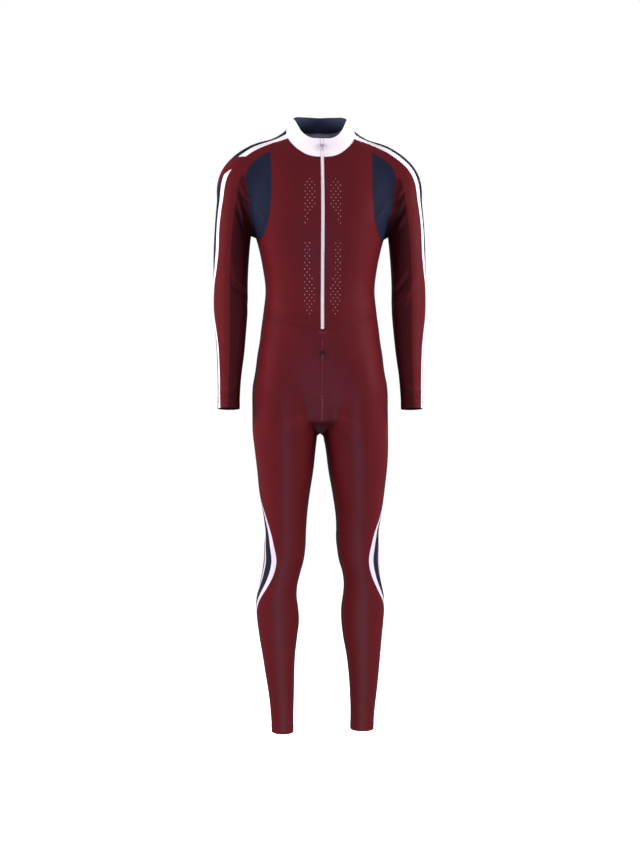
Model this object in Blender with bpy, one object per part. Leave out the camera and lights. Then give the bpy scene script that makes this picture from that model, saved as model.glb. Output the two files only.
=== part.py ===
"""Cross-country ski race suit, filled out as if worn, with nobody in it.

The suit hangs on one smooth body form: a torso, a neck, two arms and two legs, each a short table of
sections, joined with soft fillets. Seams are lines laid on that form, and every cut piece is the stretch
of cloth between its four seams, with a wall of its own. Lengths are in millimetres, +Z is up, the suit
faces -Y, and +X is the wearer's left. The origin lies between the shoulders, level with the side of the
neck.
"""

import math

import bmesh
import bpy
import numpy as np

MM = 0.001
TINY = 0.001          # keeps a distance defined on a limb's own middle line
WALL = 1.6            # thickness of the cloth wall
SEAM_GAP = 0.3        # clear space between two sewn pieces
FACING_GAP = 0.3      # clear space between the collar and its facing

# Counts of mesh steps along each seam.
ZIP_TO_SHOULDER = 7   # neckline, zip to stripe; also waist, centre front to side
ACROSS_STRIPE = 2
ACROSS_SLEEVE_BACK = 4
ACROSS_HALF_BACK = 8
ACROSS_SLEEVE_FRONT = 4
ACROSS_CHEST = 3
ARMHOLE_UPPER = 4
ARMHOLE_LOWER = 3
CHEST_SEAM = ARMHOLE_UPPER + ARMHOLE_LOWER + 1
SIDE_SEAM = 6
ZIP_ROWS = 3 + CHEST_SEAM + SIDE_SEAM
SLEEVE_SEAM = 26
RAGLAN_BACK = 7
RISE = 8              # centre seam, waist to crotch
INSEAM = 22
COLLAR_ROWS = 3
FACING_ROWS = 2

# Torso sections: height, half width, front and back of the form from y = 0.
TORSO = [
    # z,  half, front, back
    (30, 20, -12, 40),
    (10, 55, -34, 62),
    (-15, 92, -54, 80),
    (-45, 134, -74, 94),
    (-80, 166, -91, 106),
    (-120, 181, -105, 114),
    (-170, 181, -114, 117),
    (-220, 172, -116, 113),
    (-270, 156, -112, 104),
    (-330, 143, -104, 92),
    (-385, 136, -98, 84),
    (-440, 141, -96, 85),
    (-500, 149, -97, 96),
    (-560, 152, -95, 110),
    (-620, 128, -86, 112),
    (-652, 98, -78, 102),
    (-680, 66, -64, 84),
    (-700, 44, -46, 60),
    (-712, 24, -26, 36),
    (-719, 8, -5, 14),
]
TORSO_SQUARENESS = 2.25

# Neck sections, leaning forward as they rise.
NECK = [
    # z,  half, front, back
    (-110, 90, -80, 88),
    (-60, 84, -71, 78),
    (-21, 81, -64, 70),
    (0, 78, -61, 66),
    (22, 73, -57, 61),
    (42, 66.5, -55, 59),
    (58, 63.5, -53, 57),
    (110, 62, -50, 54),
]

# Arm: points on its middle line from the neck over the shoulder to past the cuff, with the four half
# widths of the section there (outer or upper, inner or lower, front, back).
ARM = [
    # x,   y,    z,  out, inn, front, back
    (45, 14, -34, 50, 40, 48, 52),
    (100, 12, -53, 49, 46, 52, 56),
    (153, 10, -76, 55, 50, 56, 60),
    (193, 8, -116, 59, 52, 58, 60),
    (206, 7, -175, 52, 47, 56, 58),
    (214, 6, -235, 49, 44, 53, 54),
    (220, 5, -310, 45.5, 43, 50, 50),
    (222, 3, -375, 43, 42, 48, 48),
    (222, 0, -430, 43, 42, 46, 46),
    (222, -5, -490, 38.5, 38, 42, 42),
    (223, -12, -545, 34, 34, 38, 37),
    (225, -19, -600, 30, 29, 32, 31),
    (226.5, -25, -650, 27.5, 27, 29, 28),
    (227, -29, -690, 27, 26.5, 28, 28),
    (227, -35, -760, 27, 26.5, 28, 28),
]
CUFF_REACH = 743      # cuff's distance along the arm's middle line

# Leg sections: height, outer and inner side of the right and of the left leg from x = 0, front, back.
LEG = [
    # z,  out_r, in_r, out_l, in_l, front, back
    (-500, 120, 40, 120, 40, -40, 50),
    (-560, 151, 22, 151, 22, -76, 96),
    (-620, 167, 12, 168, 12, -92, 116),
    (-690, 169, 7, 171, 7, -93, 113),
    (-745, 167.5, 6.5, 171, 7.5, -91, 102),
    (-775, 164, 10, 171, 13, -89, 96),
    (-835, 157, 17, 168, 21, -85, 87),
    (-895, 151, 26, 161, 32, -79, 79),
    (-955, 140, 33, 153, 40, -71, 70),
    (-985, 137, 35, 148, 41, -67, 66),
    (-1030, 140, 37, 149, 43, -62, 59),
    (-1060, 141, 41, 149, 48, -59, 56),
    (-1090, 145, 49, 151, 57, -55, 58),
    (-1120, 151, 56, 156, 61, -51, 64),
    (-1150, 158, 58, 162, 59, -49, 70),
    (-1180, 159.5, 54, 163.5, 55, -47, 73),
    (-1210, 157, 52, 162, 55, -45, 73),
    (-1255, 151, 57, 158, 60, -42, 67),
    (-1300, 143, 62, 154, 68, -38, 57),
    (-1345, 136, 64, 149.5, 73, -35, 48),
    (-1390, 129, 65, 145, 76, -33, 42),
    (-1435, 124, 66, 140, 78, -32, 40),
    (-1475, 121, 66, 137, 78, -33, 42),
    (-1540, 120, 66, 136, 78, -34, 44),
]
CROTCH_TURN = -640    # height from which the centre seam turns under
LEFT_LEG_BACK = 20    # how far the left leg's hem stands behind the right one's
HEM_HEIGHT = -1487

# Fillets between the limbs.
NECK_FILLET = 36
SHOULDER_FILLET = 40
ARMPIT_FILLET = 14
HIP_FILLET = 26
CROTCH_FILLET = 7

# Neckline: angle round the neck from the front, height of the seam, height of the collar's top edge.
NECKLINE = [
    # angle, seam, top
    (0, -71, -21),
    (20, -65, -19),
    (37, -48, -5),
    (51, -28, 14),
    (63, -9, 29),
    (76, 9, 38),
    (90, 19, 45),
    (110, 17, 53),
    (135, 7, 57),
    (160, -1, 59),
    (180, -3, 59),
]

# Facing: angle round the neck, share of the collar's height that it covers.
FACING_EDGE = [
    # angle, share
    (0, 0.75),
    (90, 0.68),
    (180, 0.56),
]
STRIPE_AT_NECK = 58   # angle where the stripe's front edge leaves the neckline
STRIPE_END_AT_NECK = 98
SLEEVE_BACK_AT_NECK = 124
ZIP_HALF = 5          # half of the white zip band that shows

# Waist seam: angle round the torso from the front, height.
WAIST = [
    # angle, z
    (0, -491),
    (30, -483),
    (60, -462),
    (90, -444),
    (130, -439),
    (180, -437),
]

# Front armhole, seen from the front: below the stripe, round the navy chest panel, to the armpit.
ARMHOLE_FRONT_UPPER = [
    # x, z
    (124, -49),
    (156, -67),
    (178, -89),
    (187, -117),
]
ARMHOLE_FRONT_LOWER = [
    (187, -117),
    (182, -145),
    (175, -198),
    (168, -236),
]
ARMPIT = (169, 0, -252)
CHEST_INNER = [
    # x, z
    (124, -49),
    (123, -92),
    (122, -130),
    (124, -177),
    (130, -225),
    (139, -254),
]
CHEST_TIP_HEIGHT = -272
RAGLAN_BACK_LINE = [
    # x, z
    (95, -30),
    (135, -68),
    (168, -100),
    (187, -122),
]
SHOULDER_REACH = 68   # along the arm: where the front leaves the stripe
SIDE_ANGLE = 92       # side seam, round the torso from the front
SLEEVE_SEAM_ANGLE = 86
ARM_SEAM_REACH = 166  # along the arm: where the sleeve seams leave the armhole

# Sleeve stripe: reach along the arm, angle of its front edge from the outer side, width.
SLEEVE_STRIPE = [
    # reach, angle, width
    (40, 57, 54),
    (68, 56, 54),
    (105, 57, 54),
    (140, 57, 54),
    (168, 54, 52),
    (225, 49, 50),
    (285, 45, 48),
    (375, 44, 46),
    (410, 34, 45),
    (440, 17, 44),
    (470, 8, 44),
    (500, 9, 43),
    (540, 22, 42),
    (580, 33, 41),
    (650, 38, 38),
    (745, 41, 36),
]

# Leg stripe: height, angle of its front edge from the outer side, width.
LEG_STRIPE = [
    # z, angle, width
    (-440, -4, 34),
    (-600, -14, 36),
    (-745, -15, 38),
    (-800, -12, 40),
    (-855, -2, 42),
    (-905, 16, 44),
    (-960, 40, 46),
    (-1010, 59, 48),
    (-1060, 71, 48),
    (-1107, 66, 48),
    (-1140, 50, 46),
    (-1170, 28, 44),
    (-1195, 11, 42),
    (-1225, -6, 40),
    (-1265, -17, 38),
    (-1500, -18, 32),
]

# The largest folds, ridges (+) and troughs (-) on the left half of the form, mirrored to the right.
FOLDS = [
    # from x, y, z,    to x, y, z,     half width, height
    (190, -58, -150, 160, -62, -222, 12, 3.0),
    (202, -52, -170, 172, -42, -236, 11, -2.5),
    (188, 60, -150, 160, 66, -225, 13, 3.0),
    (180, -22, -396, 232, -46, -414, 12, 2.5),
    (182, 10, -420, 214, -44, -442, 11, -2.2),
    (226, 46, -418, 262, 6, -440, 13, 2.4),
]

# Zip sliders and their pull tabs, in the slider's own directions.
SLIDER_WIDTH = 7.6
SLIDER_LENGTH = 11.0
SLIDER_THICK = 2.4
SLIDER_LIFT = 0.35    # clear space under a slider
ARCH_WIDTH = 2.2
ARCH_SPAN = 7.8       # over both feet
ARCH_BAR = 1.0
ARCH_CLEAR = 2.2      # room under the arch
TAB_WIDTH = 5.0
TAB_LENGTH = 14.0
TAB_THICK = 1.2
TAB_BAR = 1.3         # the tab's top bar, which turns under the arch
TAB_SLOT_WIDTH = 3.4
TAB_SLOT_END = 4.8    # far end of the slot, from the bar's middle
TAB_CLEAR = 0.4       # between the slider's face and the tab
ZIP_SLIDER_HEIGHT = -42
FLY_SLIDER_HEIGHT = -548

COLOURS = {
    # name: red, green, blue (linear), roughness
    "maroon": (0.105, 0.012, 0.016, 0.5),
    "navy": (0.018, 0.020, 0.042, 0.55),
    "white": (0.78, 0.74, 0.80, 0.55),
    "striped": (0.50, 0.46, 0.52, 0.55),
    "white_metal": (0.75, 0.73, 0.72, 0.35),
    "dark_metal": (0.05, 0.045, 0.06, 0.4),
}


# --- The body form -------------------------------------------------------------------------------------


def smooth_table(rows, at):
    """The other columns of a table at given values of the first, on a smooth curve through the rows."""
    table = np.array(sorted(rows), dtype=float)
    key, columns = table[:, 0], table[:, 1:]
    slope = np.gradient(columns, key, axis=0)
    at = np.clip(np.asarray(at, dtype=float), key[0], key[-1])
    low = np.clip(np.searchsorted(key, at, side="right") - 1, 0, len(key) - 2)
    step = (key[low + 1] - key[low])[..., None]
    t = (at - key[low])[..., None] / step
    start, end = columns[low], columns[low + 1]
    return (
        start * (1 + 2 * t) * (1 - t) ** 2
        + end * t**2 * (3 - 2 * t)
        + step * t * (1 - t) * (slope[low] * (1 - t) - slope[low + 1] * t)
    )


def blend(a, b, fillet):
    """The lower of two distances, rounded where they meet."""
    share = np.clip(0.5 + 0.5 * (b - a) / fillet, 0, 1)
    return b + (a - b) * share - fillet * share * (1 - share)


def section_distance(across, along, half_across, half_along, power):
    """Distance from a rounded section, measured along the line from its middle."""
    across = across + TINY
    scaled = (np.abs(across / half_across) ** power + np.abs(along / half_along) ** power) ** (1 / power)
    return np.hypot(across, along) * (1 - 1 / np.maximum(scaled, 1e-6))


def trunk_distance(points, rows, power):
    half, front, back = smooth_table(rows, points[:, 2]).T
    depth = np.where(points[:, 1] < 0, -front, back)
    return section_distance(points[:, 0], points[:, 1], half, depth, power)


def leg_section(side, height):
    """Middle x and y and half widths of a leg at given heights; side is +1 for the left leg."""
    out_r, in_r, out_l, in_l, front, back = smooth_table(LEG, height).T
    outer, inner = (out_l, in_l) if side > 0 else (out_r, in_r)
    fall = np.clip((np.asarray(height) + 745) / (HEM_HEIGHT + 745), 0, 1.1)
    set_back = LEFT_LEG_BACK * fall if side > 0 else 0 * fall
    return side * (outer + inner) / 2, (front + back) / 2 + set_back, (outer - inner) / 2, (back - front) / 2


def leg_distance(points, side):
    x, y, half, depth = leg_section(side, points[:, 2])
    return section_distance(points[:, 0] - x, points[:, 1] - y, half, depth, 2.1)


def arm_line(count=150):
    """The arm's middle line at even steps: reach, point, direction, outward and four half widths."""
    rows = np.array(ARM, dtype=float)
    reach = np.concatenate([[0], np.cumsum(np.linalg.norm(np.diff(rows[:, :3], axis=0), axis=1))])
    along = np.linspace(0, reach[-1], count)
    smooth = smooth_table(np.column_stack([reach, rows]).tolist(), along)
    point, widths = smooth[:, :3], smooth[:, 3:]
    direction = np.gradient(point, along, axis=0)
    direction /= np.linalg.norm(direction, axis=1)[:, None]
    front = np.array([0.0, -1.0, 0.0]) + direction * direction[:, 1:2]
    front /= np.linalg.norm(front, axis=1)[:, None]
    outward = np.cross(front, direction)
    return along, point, direction, outward, front, widths


ARM_LINE = arm_line()


def arm_distance(points):
    """Distance from the left arm; the right arm is its mirror image."""
    along, line, direction, _, _, widths = ARM_LINE
    point = points * [1, 1, 1]
    point[:, 0] = np.abs(point[:, 0])
    far = (point**2).sum(1)[:, None] + (line**2).sum(1)[None] - 2 * point @ line.T
    near = far.argmin(1)
    reach = np.clip(along[near] + ((point - line[near]) * direction[near]).sum(1), 0, along[-1])
    columns = np.column_stack([line, direction, widths])
    step = along[1]
    low = np.clip((reach / step).astype(int), 0, len(along) - 2)
    share = (reach / step - low)[:, None]
    here = columns[low] * (1 - share) + columns[low + 1] * share
    away = point - here[:, :3]
    heading = here[:, 3:6]
    front = np.array([0.0, -1.0, 0.0]) + heading * heading[:, 1:2]
    front /= np.linalg.norm(front, axis=1)[:, None]
    outward = np.cross(front, heading)
    u, v, w = (away * outward).sum(1) + TINY, (away * front).sum(1), (away * heading).sum(1)
    half_u = np.where(u > 0, here[:, 6], here[:, 7])
    half_v = np.where(v > 0, here[:, 8], here[:, 9])
    scaled = np.sqrt((u / half_u) ** 2 + (v / half_v) ** 2 + (w / 45) ** 2)
    return np.sqrt(u * u + v * v + w * w) * (1 - 1 / np.maximum(scaled, 1e-6))


def fold_height(points):
    """Height of the folds at each point: a bell across each fold's line that dies out along it."""
    mirrored = points * [1, 1, 1]
    mirrored[:, 0] = np.abs(mirrored[:, 0])
    total = np.zeros(len(points))
    for x0, y0, z0, x1, y1, z1, width, height in FOLDS:
        start, run = np.array([x0, y0, z0]), np.array([x1 - x0, y1 - y0, z1 - z0])
        share = ((mirrored - start) @ run) / (run @ run)
        away = np.linalg.norm(mirrored - start - np.clip(share, 0, 1)[:, None] * run, axis=1)
        taper = np.clip(1.1 - (2 * share - 1) ** 2, 0, 1)
        total += height * taper * np.exp(-((away / width) ** 2))
    return total


def form(points):
    """Distance of each point from the filled-out suit's outside: less than zero inside."""
    height = points[:, 2]
    trunk = blend(trunk_distance(points, TORSO, TORSO_SQUARENESS), trunk_distance(points, NECK, 2.0), NECK_FILLET)
    above = np.clip((height + 235) / 90, 0, 1)
    joint = ARMPIT_FILLET + (SHOULDER_FILLET - ARMPIT_FILLET) * above
    trunk = blend(trunk, arm_distance(points), joint)
    legs = blend(leg_distance(points, 1), leg_distance(points, -1), CROTCH_FILLET)
    below = np.maximum(height - LEG[0][0], 0)
    fork = np.clip((TORSO[-1][0] - height) / 50 + 1, 0, 1)
    hip = HIP_FILLET + (CROTCH_FILLET - HIP_FILLET) * fork
    trunk = blend(trunk + 4 * np.maximum(TORSO[-1][0] - height, 0), legs + below, hip)
    return trunk - fold_height(points)


def slope(points):
    """Gradient of the form, from four samples round each point."""
    corners = np.array([[1, -1, -1], [-1, -1, 1], [-1, 1, -1], [1, 1, 1]], dtype=float)
    reach = 0.5
    return sum(c * form(points + reach * c)[:, None] for c in corners) / (4 * reach)


def settle(points, rounds=7):
    """Moves points onto the form, each along its own slope."""
    points = np.array(points, dtype=float)
    for _ in range(rounds):
        uphill = slope(points)
        step = form(points) / np.maximum((uphill**2).sum(1), 1e-6)
        points -= np.clip(step, -12, 12)[:, None] * uphill
    return points


def outward_normal(points):
    uphill = slope(points)
    return uphill / np.linalg.norm(uphill, axis=1)[:, None]


def cast(origins, directions, reach=260):
    """Where rays that start inside the form first leave it."""
    origins = np.atleast_2d(np.array(origins, dtype=float))
    directions = np.broadcast_to(np.array(directions, dtype=float), origins.shape)
    steps = np.linspace(0, reach, 66)
    inside = np.array([form(origins + s * directions) < 0 for s in steps])
    first = np.argmin(inside, axis=0)
    low, high = steps[np.maximum(first - 1, 0)], steps[first]
    for _ in range(16):
        middle = (low + high) / 2
        within = form(origins + middle[:, None] * directions) < 0
        low, high = np.where(within, middle, low), np.where(within, high, middle)
    return origins + low[:, None] * directions


# --- Ways to lay a seam --------------------------------------------------------------------------------


def flip(points, side):
    """Points of the left half, mirrored when side is -1."""
    return points * np.array([side, 1, 1])


def round_torso(angles, heights, start_y=0.0):
    """Points at angles round the torso, from the front towards the left, at given heights."""
    turn = np.radians(angles)
    origins = np.column_stack([0 * turn, 0 * turn + start_y, heights + 0 * turn])
    return cast(origins, np.column_stack([np.sin(turn), -np.cos(turn), 0 * turn]))


def round_arm(angles, reaches):
    """Points at angles round the left arm, from its outer side towards the front."""
    along, line, _, outward, front, _ = ARM_LINE
    turn = np.radians(angles)[:, None]
    middle = np.column_stack([np.interp(reaches, along, line[:, k]) for k in range(3)])
    out = np.column_stack([np.interp(reaches, along, outward[:, k]) for k in range(3)])
    fore = np.column_stack([np.interp(reaches, along, front[:, k]) for k in range(3)])
    return cast(middle, out * np.cos(turn) + fore * np.sin(turn), reach=110)


def round_leg(side, angles, heights):
    """Points at angles round a leg, from its outer side towards the front."""
    turn = np.radians(angles)
    x, y, _, _ = leg_section(side, heights)
    origins = np.column_stack([x, y, heights])
    return cast(origins, np.column_stack([side * np.cos(turn), -np.sin(turn), 0 * turn]), reach=180)


def from_view(rows, facing):
    """Points given as x and z, laid on the front (facing -1) or the back (+1) of the form."""
    rows = np.array(rows, dtype=float)
    return cast(np.column_stack([rows[:, 0], 0 * rows[:, 0], rows[:, 1]]), [0, facing, 0])


def even_line(points, steps):
    """A smooth line through points on the form, cut into equal steps and settled on it."""
    points = np.array(points, dtype=float)
    reach = np.concatenate([[0], np.cumsum(np.linalg.norm(np.diff(points, axis=0), axis=1))])
    rows = np.column_stack([reach, points]).tolist()
    fine = smooth_table(rows, np.linspace(0, reach[-1], 400))
    length = np.concatenate([[0], np.cumsum(np.linalg.norm(np.diff(fine, axis=0), axis=1))])
    wanted = np.linspace(0, length[-1], steps + 1)
    line = np.column_stack([np.interp(wanted, length, fine[:, k]) for k in range(3)])
    line[1:-1] = settle(line[1:-1])
    line[0], line[-1] = points[0], points[-1]
    return line


def chain(*lines):
    """Lines joined end to end."""
    return np.vstack([lines[0]] + [line[1:] for line in lines[1:]])


def neckline_at(angles, column=0):
    """Points on the neckline seam (column 0) or on the collar's top edge (column 1)."""
    angles = np.asarray(angles, dtype=float)
    heights = smooth_table(NECKLINE, angles)[:, column]
    return round_torso(angles, heights, start_y=4.0)


def waist_at(angles):
    angles = np.asarray(angles, dtype=float)
    return round_torso(angles, smooth_table(WAIST, angles)[:, 0])


def edge_at_x(place, x, low=0.0, high=25.0):
    """Angle at which a line that starts in front has gone x to the left."""
    for _ in range(24):
        middle = (low + high) / 2
        if place([middle])[0, 0] < x:
            low = middle
        else:
            high = middle
    return (low + high) / 2


def neck_angles():
    """Angles of the neckline's stations on the left half, from the zip to the middle of the back."""
    zip_edge = edge_at_x(neckline_at, ZIP_HALF)
    parts = [
        np.linspace(zip_edge, STRIPE_AT_NECK, ZIP_TO_SHOULDER + 1),
        np.linspace(STRIPE_AT_NECK, STRIPE_END_AT_NECK, ACROSS_STRIPE + 1)[1:],
        np.linspace(STRIPE_END_AT_NECK, SLEEVE_BACK_AT_NECK, ACROSS_SLEEVE_BACK + 1)[1:],
        np.linspace(SLEEVE_BACK_AT_NECK, 180, ACROSS_HALF_BACK + 1)[1:],
    ]
    return np.concatenate(parts)


def crotch_line(facing, steps):
    """The centre seam under the body, from the belly (facing -1) or the seat (+1) to its lowest point."""
    turn = np.linspace(0, math.pi / 2, steps + 1)
    origins = np.zeros((steps + 1, 3)) + [0, 8, CROTCH_TURN]
    return cast(origins, np.column_stack([0 * turn, facing * np.cos(turn), -np.sin(turn)]))


def stripe_edges():
    """Both edges of the sleeve's stripe at its stations, from the neckline to the cuff."""
    near = np.linspace(SHOULDER_REACH, ARM_SEAM_REACH, ARMHOLE_UPPER + 2)
    far = np.linspace(ARM_SEAM_REACH, CUFF_REACH, SLEEVE_SEAM + 1)[1:]
    reaches = np.concatenate([near, far])
    angle, width = smooth_table(SLEEVE_STRIPE, reaches).T
    half = np.interp(reaches, ARM_LINE[0], ARM_LINE[5][:, 0] * 0.6 + ARM_LINE[5][:, 2] * 0.4)
    front = round_arm(angle, reaches)
    back = round_arm(angle - np.degrees(width / half), reaches)
    neck_front, neck_back = neckline_at([STRIPE_AT_NECK, STRIPE_END_AT_NECK])
    return even_line([neck_front, front[0]], 2), front, even_line([neck_back, back[0]], 2), back


# --- Cloth ---------------------------------------------------------------------------------------------


def coons(top, bottom, left, right):
    """Grid between four edges: both straight blends added, the blend of the corners taken away."""
    v = np.linspace(0, 1, len(left))[:, None, None]
    u = np.linspace(0, 1, len(top))[None, :, None]
    upper = (1 - u) * top[0] + u * top[-1]
    lower = (1 - u) * bottom[0] + u * bottom[-1]
    across = (1 - u) * left[:, None] + u * right[:, None]
    return (1 - v) * (top[None] - upper) + v * (bottom[None] - lower) + across


def patch(top, bottom, left, right):
    """Grid of points between four seams, settled on the form."""
    rows, columns = len(left), len(top)
    grid = coons(top, bottom, left, right)
    inner = grid[1:-1, 1:-1].reshape(-1, 3)
    grid[1:-1, 1:-1] = settle(inner, 12).reshape(rows - 2, columns - 2, 3)
    grid[0], grid[-1], grid[:, 0], grid[:, -1] = top, bottom, left, right
    return grid


def leg_patch(side, facing, top, bottom, left, right):
    """Grid between four seams of a leg's front (facing -1) or back (+1): even in angle and height."""
    rows, columns = len(left), len(top)

    def unrolled(line):
        x, y, _, _ = leg_section(side, line[:, 2])
        turn = np.degrees(np.arctan2(y - line[:, 1], side * (line[:, 0] - x)))
        turn = np.where(np.abs(turn) > 150, -facing * np.abs(turn), turn)
        return np.column_stack([turn, line[:, 2]])

    flat = [unrolled(line) for line in (top, bottom, left, right)]
    grid = coons(*flat).reshape(-1, 2)
    grid = round_leg(side, grid[:, 0], grid[:, 1]).reshape(rows, columns, 3)
    grid[0], grid[-1], grid[:, 0], grid[:, -1] = top, bottom, left, right
    return grid


def pull_in(grid, amount):
    """Draws all four edges of a grid inwards, square to each edge; an edge drawn to a point goes straight."""
    moved = grid.copy()
    for axis, edge, inner in ((0, 0, 1), (0, -1, -2), (1, 0, 1), (1, -1, -2)):
        line, next_line = np.take(grid, edge, axis), np.take(grid, inner, axis)
        inward = next_line - line
        if np.ptp(line, axis=0).max() < 1e-6:
            middle = inward.mean(0)
            inward = np.broadcast_to(middle / np.linalg.norm(middle) * 4, line.shape)
        else:
            along = np.gradient(line, axis=0)
            along /= np.maximum(np.linalg.norm(along, axis=1), 1e-9)[:, None]
            inward = inward - (inward * along).sum(1)[:, None] * along
            inward = inward / np.maximum(np.linalg.norm(inward, axis=1), 1e-9)[:, None]
        if axis == 0:
            moved[edge] += amount * inward
        else:
            moved[:, edge] += amount * inward
    return moved


def cloth(name, grid, colour, wall=WALL, sunk=0.0):
    """A piece of cloth: a closed wall under a grid of points, as thick as wall, sunk below the form."""
    shape = grid.shape
    normal = outward_normal(grid.reshape(-1, 3)).reshape(shape)
    outer = pull_in(grid, SEAM_GAP / 2)
    outer, inner = outer - sunk * normal, outer - (sunk + wall) * normal
    make_wall(name, outer, inner, colour)


def make_wall(name, outer, inner, colour):
    """One closed mesh from an outer and an inner grid."""
    rows, columns = outer.shape[:2]
    count = rows * columns
    index = np.arange(count).reshape(rows, columns)
    quads = np.stack([index[:-1, :-1], index[1:, :-1], index[1:, 1:], index[:-1, 1:]], -1).reshape(-1, 4)
    rim = np.concatenate([index[0, :-1], index[:-1, -1], index[-1, :0:-1], index[:0:-1, 0]])
    sides = np.stack([rim, np.roll(rim, -1), np.roll(rim, -1) + count, rim + count], -1)
    faces = np.concatenate([quads, quads[:, ::-1] + count, sides])
    points = np.concatenate([outer.reshape(-1, 3), inner.reshape(-1, 3)]) * MM
    mesh = bpy.data.meshes.new(name)
    mesh.from_pydata(points.tolist(), [], faces.tolist())
    finish(name, mesh, colour)


def finish(name, mesh, colour, parent=None):
    """Closes and cleans a mesh, turns its faces outwards and gives it its material."""
    soft = bmesh.new()
    soft.from_mesh(mesh)
    bmesh.ops.remove_doubles(soft, verts=soft.verts, dist=0.000002)
    bmesh.ops.triangulate(soft, faces=soft.faces)
    bmesh.ops.recalc_face_normals(soft, faces=soft.faces)
    soft.to_mesh(mesh)
    soft.free()
    mesh.shade_smooth()
    mesh.set_sharp_from_angle(angle=math.radians(35))
    mesh.materials.append(material(name, colour))
    piece = bpy.data.objects.new(name, mesh)
    bpy.context.scene.collection.objects.link(piece)
    if parent:
        piece.parent = parent
    return piece


def material(name, colour):
    red, green, blue, roughness = COLOURS[colour]
    made = bpy.data.materials.new(name)
    made.use_nodes = True
    surface = made.node_tree.nodes["Principled BSDF"]
    surface.inputs["Base Color"].default_value = (red, green, blue, 1)
    surface.inputs["Roughness"].default_value = roughness
    surface.inputs["Metallic"].default_value = 0.8 if colour.endswith("metal") else 0.0
    return made


def side_name(base, side):
    return base + ("_left" if side > 0 else "_right")


def point_line(point, columns):
    """An edge drawn to one point."""
    return np.repeat(point[None], columns + 1, axis=0)


def upper_seams():
    """Every seam of the left upper half, as lines of stations."""
    seams = {}
    neck = neckline_at(neck_angles())
    marks = np.cumsum([0, ZIP_TO_SHOULDER, ACROSS_STRIPE, ACROSS_SLEEVE_BACK, ACROSS_HALF_BACK])
    names = ("neck_front", "neck_stripe", "neck_sleeve", "neck_back")
    for name, start, end in zip(names, marks, marks[1:]):
        seams[name] = neck[start : end + 1]
    lead_front, stripe_front, lead_back, stripe_back = stripe_edges()
    seams["stripe_lead"], seams["stripe_front"] = lead_front, stripe_front
    seams["stripe_back"] = chain(lead_back, stripe_back)

    shoulder = stripe_front[0]
    upper = from_view(ARMHOLE_FRONT_UPPER, -1)
    lower = from_view(ARMHOLE_FRONT_LOWER, -1)
    armpit = settle([ARMPIT])[0]
    tip = round_torso([SIDE_ANGLE], np.array([CHEST_TIP_HEIGHT]))[0]
    seams["shoulder_drop"] = np.array([shoulder, upper[0]])
    seams["armhole_upper"] = even_line(upper, ARMHOLE_UPPER)
    seams["armhole_lower"] = even_line(np.vstack([lower, armpit]), ARMHOLE_LOWER)
    seams["under_arm"] = np.array([armpit, tip])
    inner = from_view(CHEST_INNER, -1)
    inner[0] = upper[0]
    seams["chest_inner"] = even_line(np.vstack([inner, tip]), CHEST_SEAM)

    waist_side = waist_at([SIDE_ANGLE])[0]
    heights = np.linspace(tip[2], waist_side[2], SIDE_SEAM + 1)
    seams["side"] = round_torso(0 * heights + SIDE_ANGLE, heights)
    seams["side"][0], seams["side"][-1] = tip, waist_side

    reaches = np.linspace(ARM_SEAM_REACH, CUFF_REACH, SLEEVE_SEAM + 1)
    seams["sleeve_fore"] = round_arm(0 * reaches + SLEEVE_SEAM_ANGLE, reaches)
    seams["sleeve_fore"][0] = upper[-1]
    seams["sleeve_aft"] = round_arm(0 * reaches - SLEEVE_SEAM_ANGLE, reaches)
    raglan = from_view(RAGLAN_BACK_LINE, 1)
    seams["sleeve_aft"][0] = raglan[-1]
    seams["raglan_back"] = even_line(np.vstack([seams["neck_back"][0], raglan]), RAGLAN_BACK)
    lower_back = from_view(ARMHOLE_FRONT_LOWER[1:], 1)
    line = np.vstack([raglan[-1], lower_back, armpit])
    seams["armhole_back"] = even_line(line, ARMHOLE_LOWER)

    def cuff(start, end, steps):
        turn = np.linspace(start, end, steps + 1)
        return round_arm(turn, np.full(steps + 1, float(CUFF_REACH)))

    angle, width = smooth_table(SLEEVE_STRIPE, np.array([float(CUFF_REACH)]))[0]
    behind = angle - math.degrees(width / 27.4)
    seams["cuff_stripe"] = cuff(angle, behind, ACROSS_STRIPE)
    seams["cuff_front"] = cuff(angle, SLEEVE_SEAM_ANGLE, ACROSS_SLEEVE_FRONT)
    seams["cuff_back"] = cuff(behind, -SLEEVE_SEAM_ANGLE, ACROSS_SLEEVE_BACK)
    seams["cuff_under"] = cuff(SLEEVE_SEAM_ANGLE, 360 - SLEEVE_SEAM_ANGLE, 2 * ARMHOLE_LOWER)
    for ends, joined in (("cuff_stripe", "stripe_back"), ("cuff_back", "stripe_back")):
        seams[ends][-1 if ends == "cuff_stripe" else 0] = seams[joined][-1]
    return seams


def zip_edge_line():
    """The zip's left edge, from the collar's top to the waist: collar rows, then front rows."""
    rows = ZIP_ROWS
    neck_z = neckline_at([edge_at_x(neckline_at, ZIP_HALF)])[0, 2]
    waist_z = waist_at([2.5])[0, 2]
    heights = np.linspace(neck_z, waist_z, rows + 1)
    front = cast(np.column_stack([0 * heights + ZIP_HALF, 0 * heights, heights]), [0, -1, 0])
    return front


def waist_stations():
    """Waist seam on the left half: from the centre front to the side, then on to the centre back."""
    front = waist_at(np.linspace(0, SIDE_ANGLE, ZIP_TO_SHOULDER + 1))
    wrap = math.degrees(LEG_STRIPE[0][2] / 118)
    behind = np.concatenate([
        np.linspace(SIDE_ANGLE, SIDE_ANGLE + wrap, ACROSS_STRIPE + 1),
        np.linspace(SIDE_ANGLE + wrap, 180, ACROSS_HALF_BACK - ACROSS_STRIPE + 1)[1:],
    ])
    return front, waist_at(behind)


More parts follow.
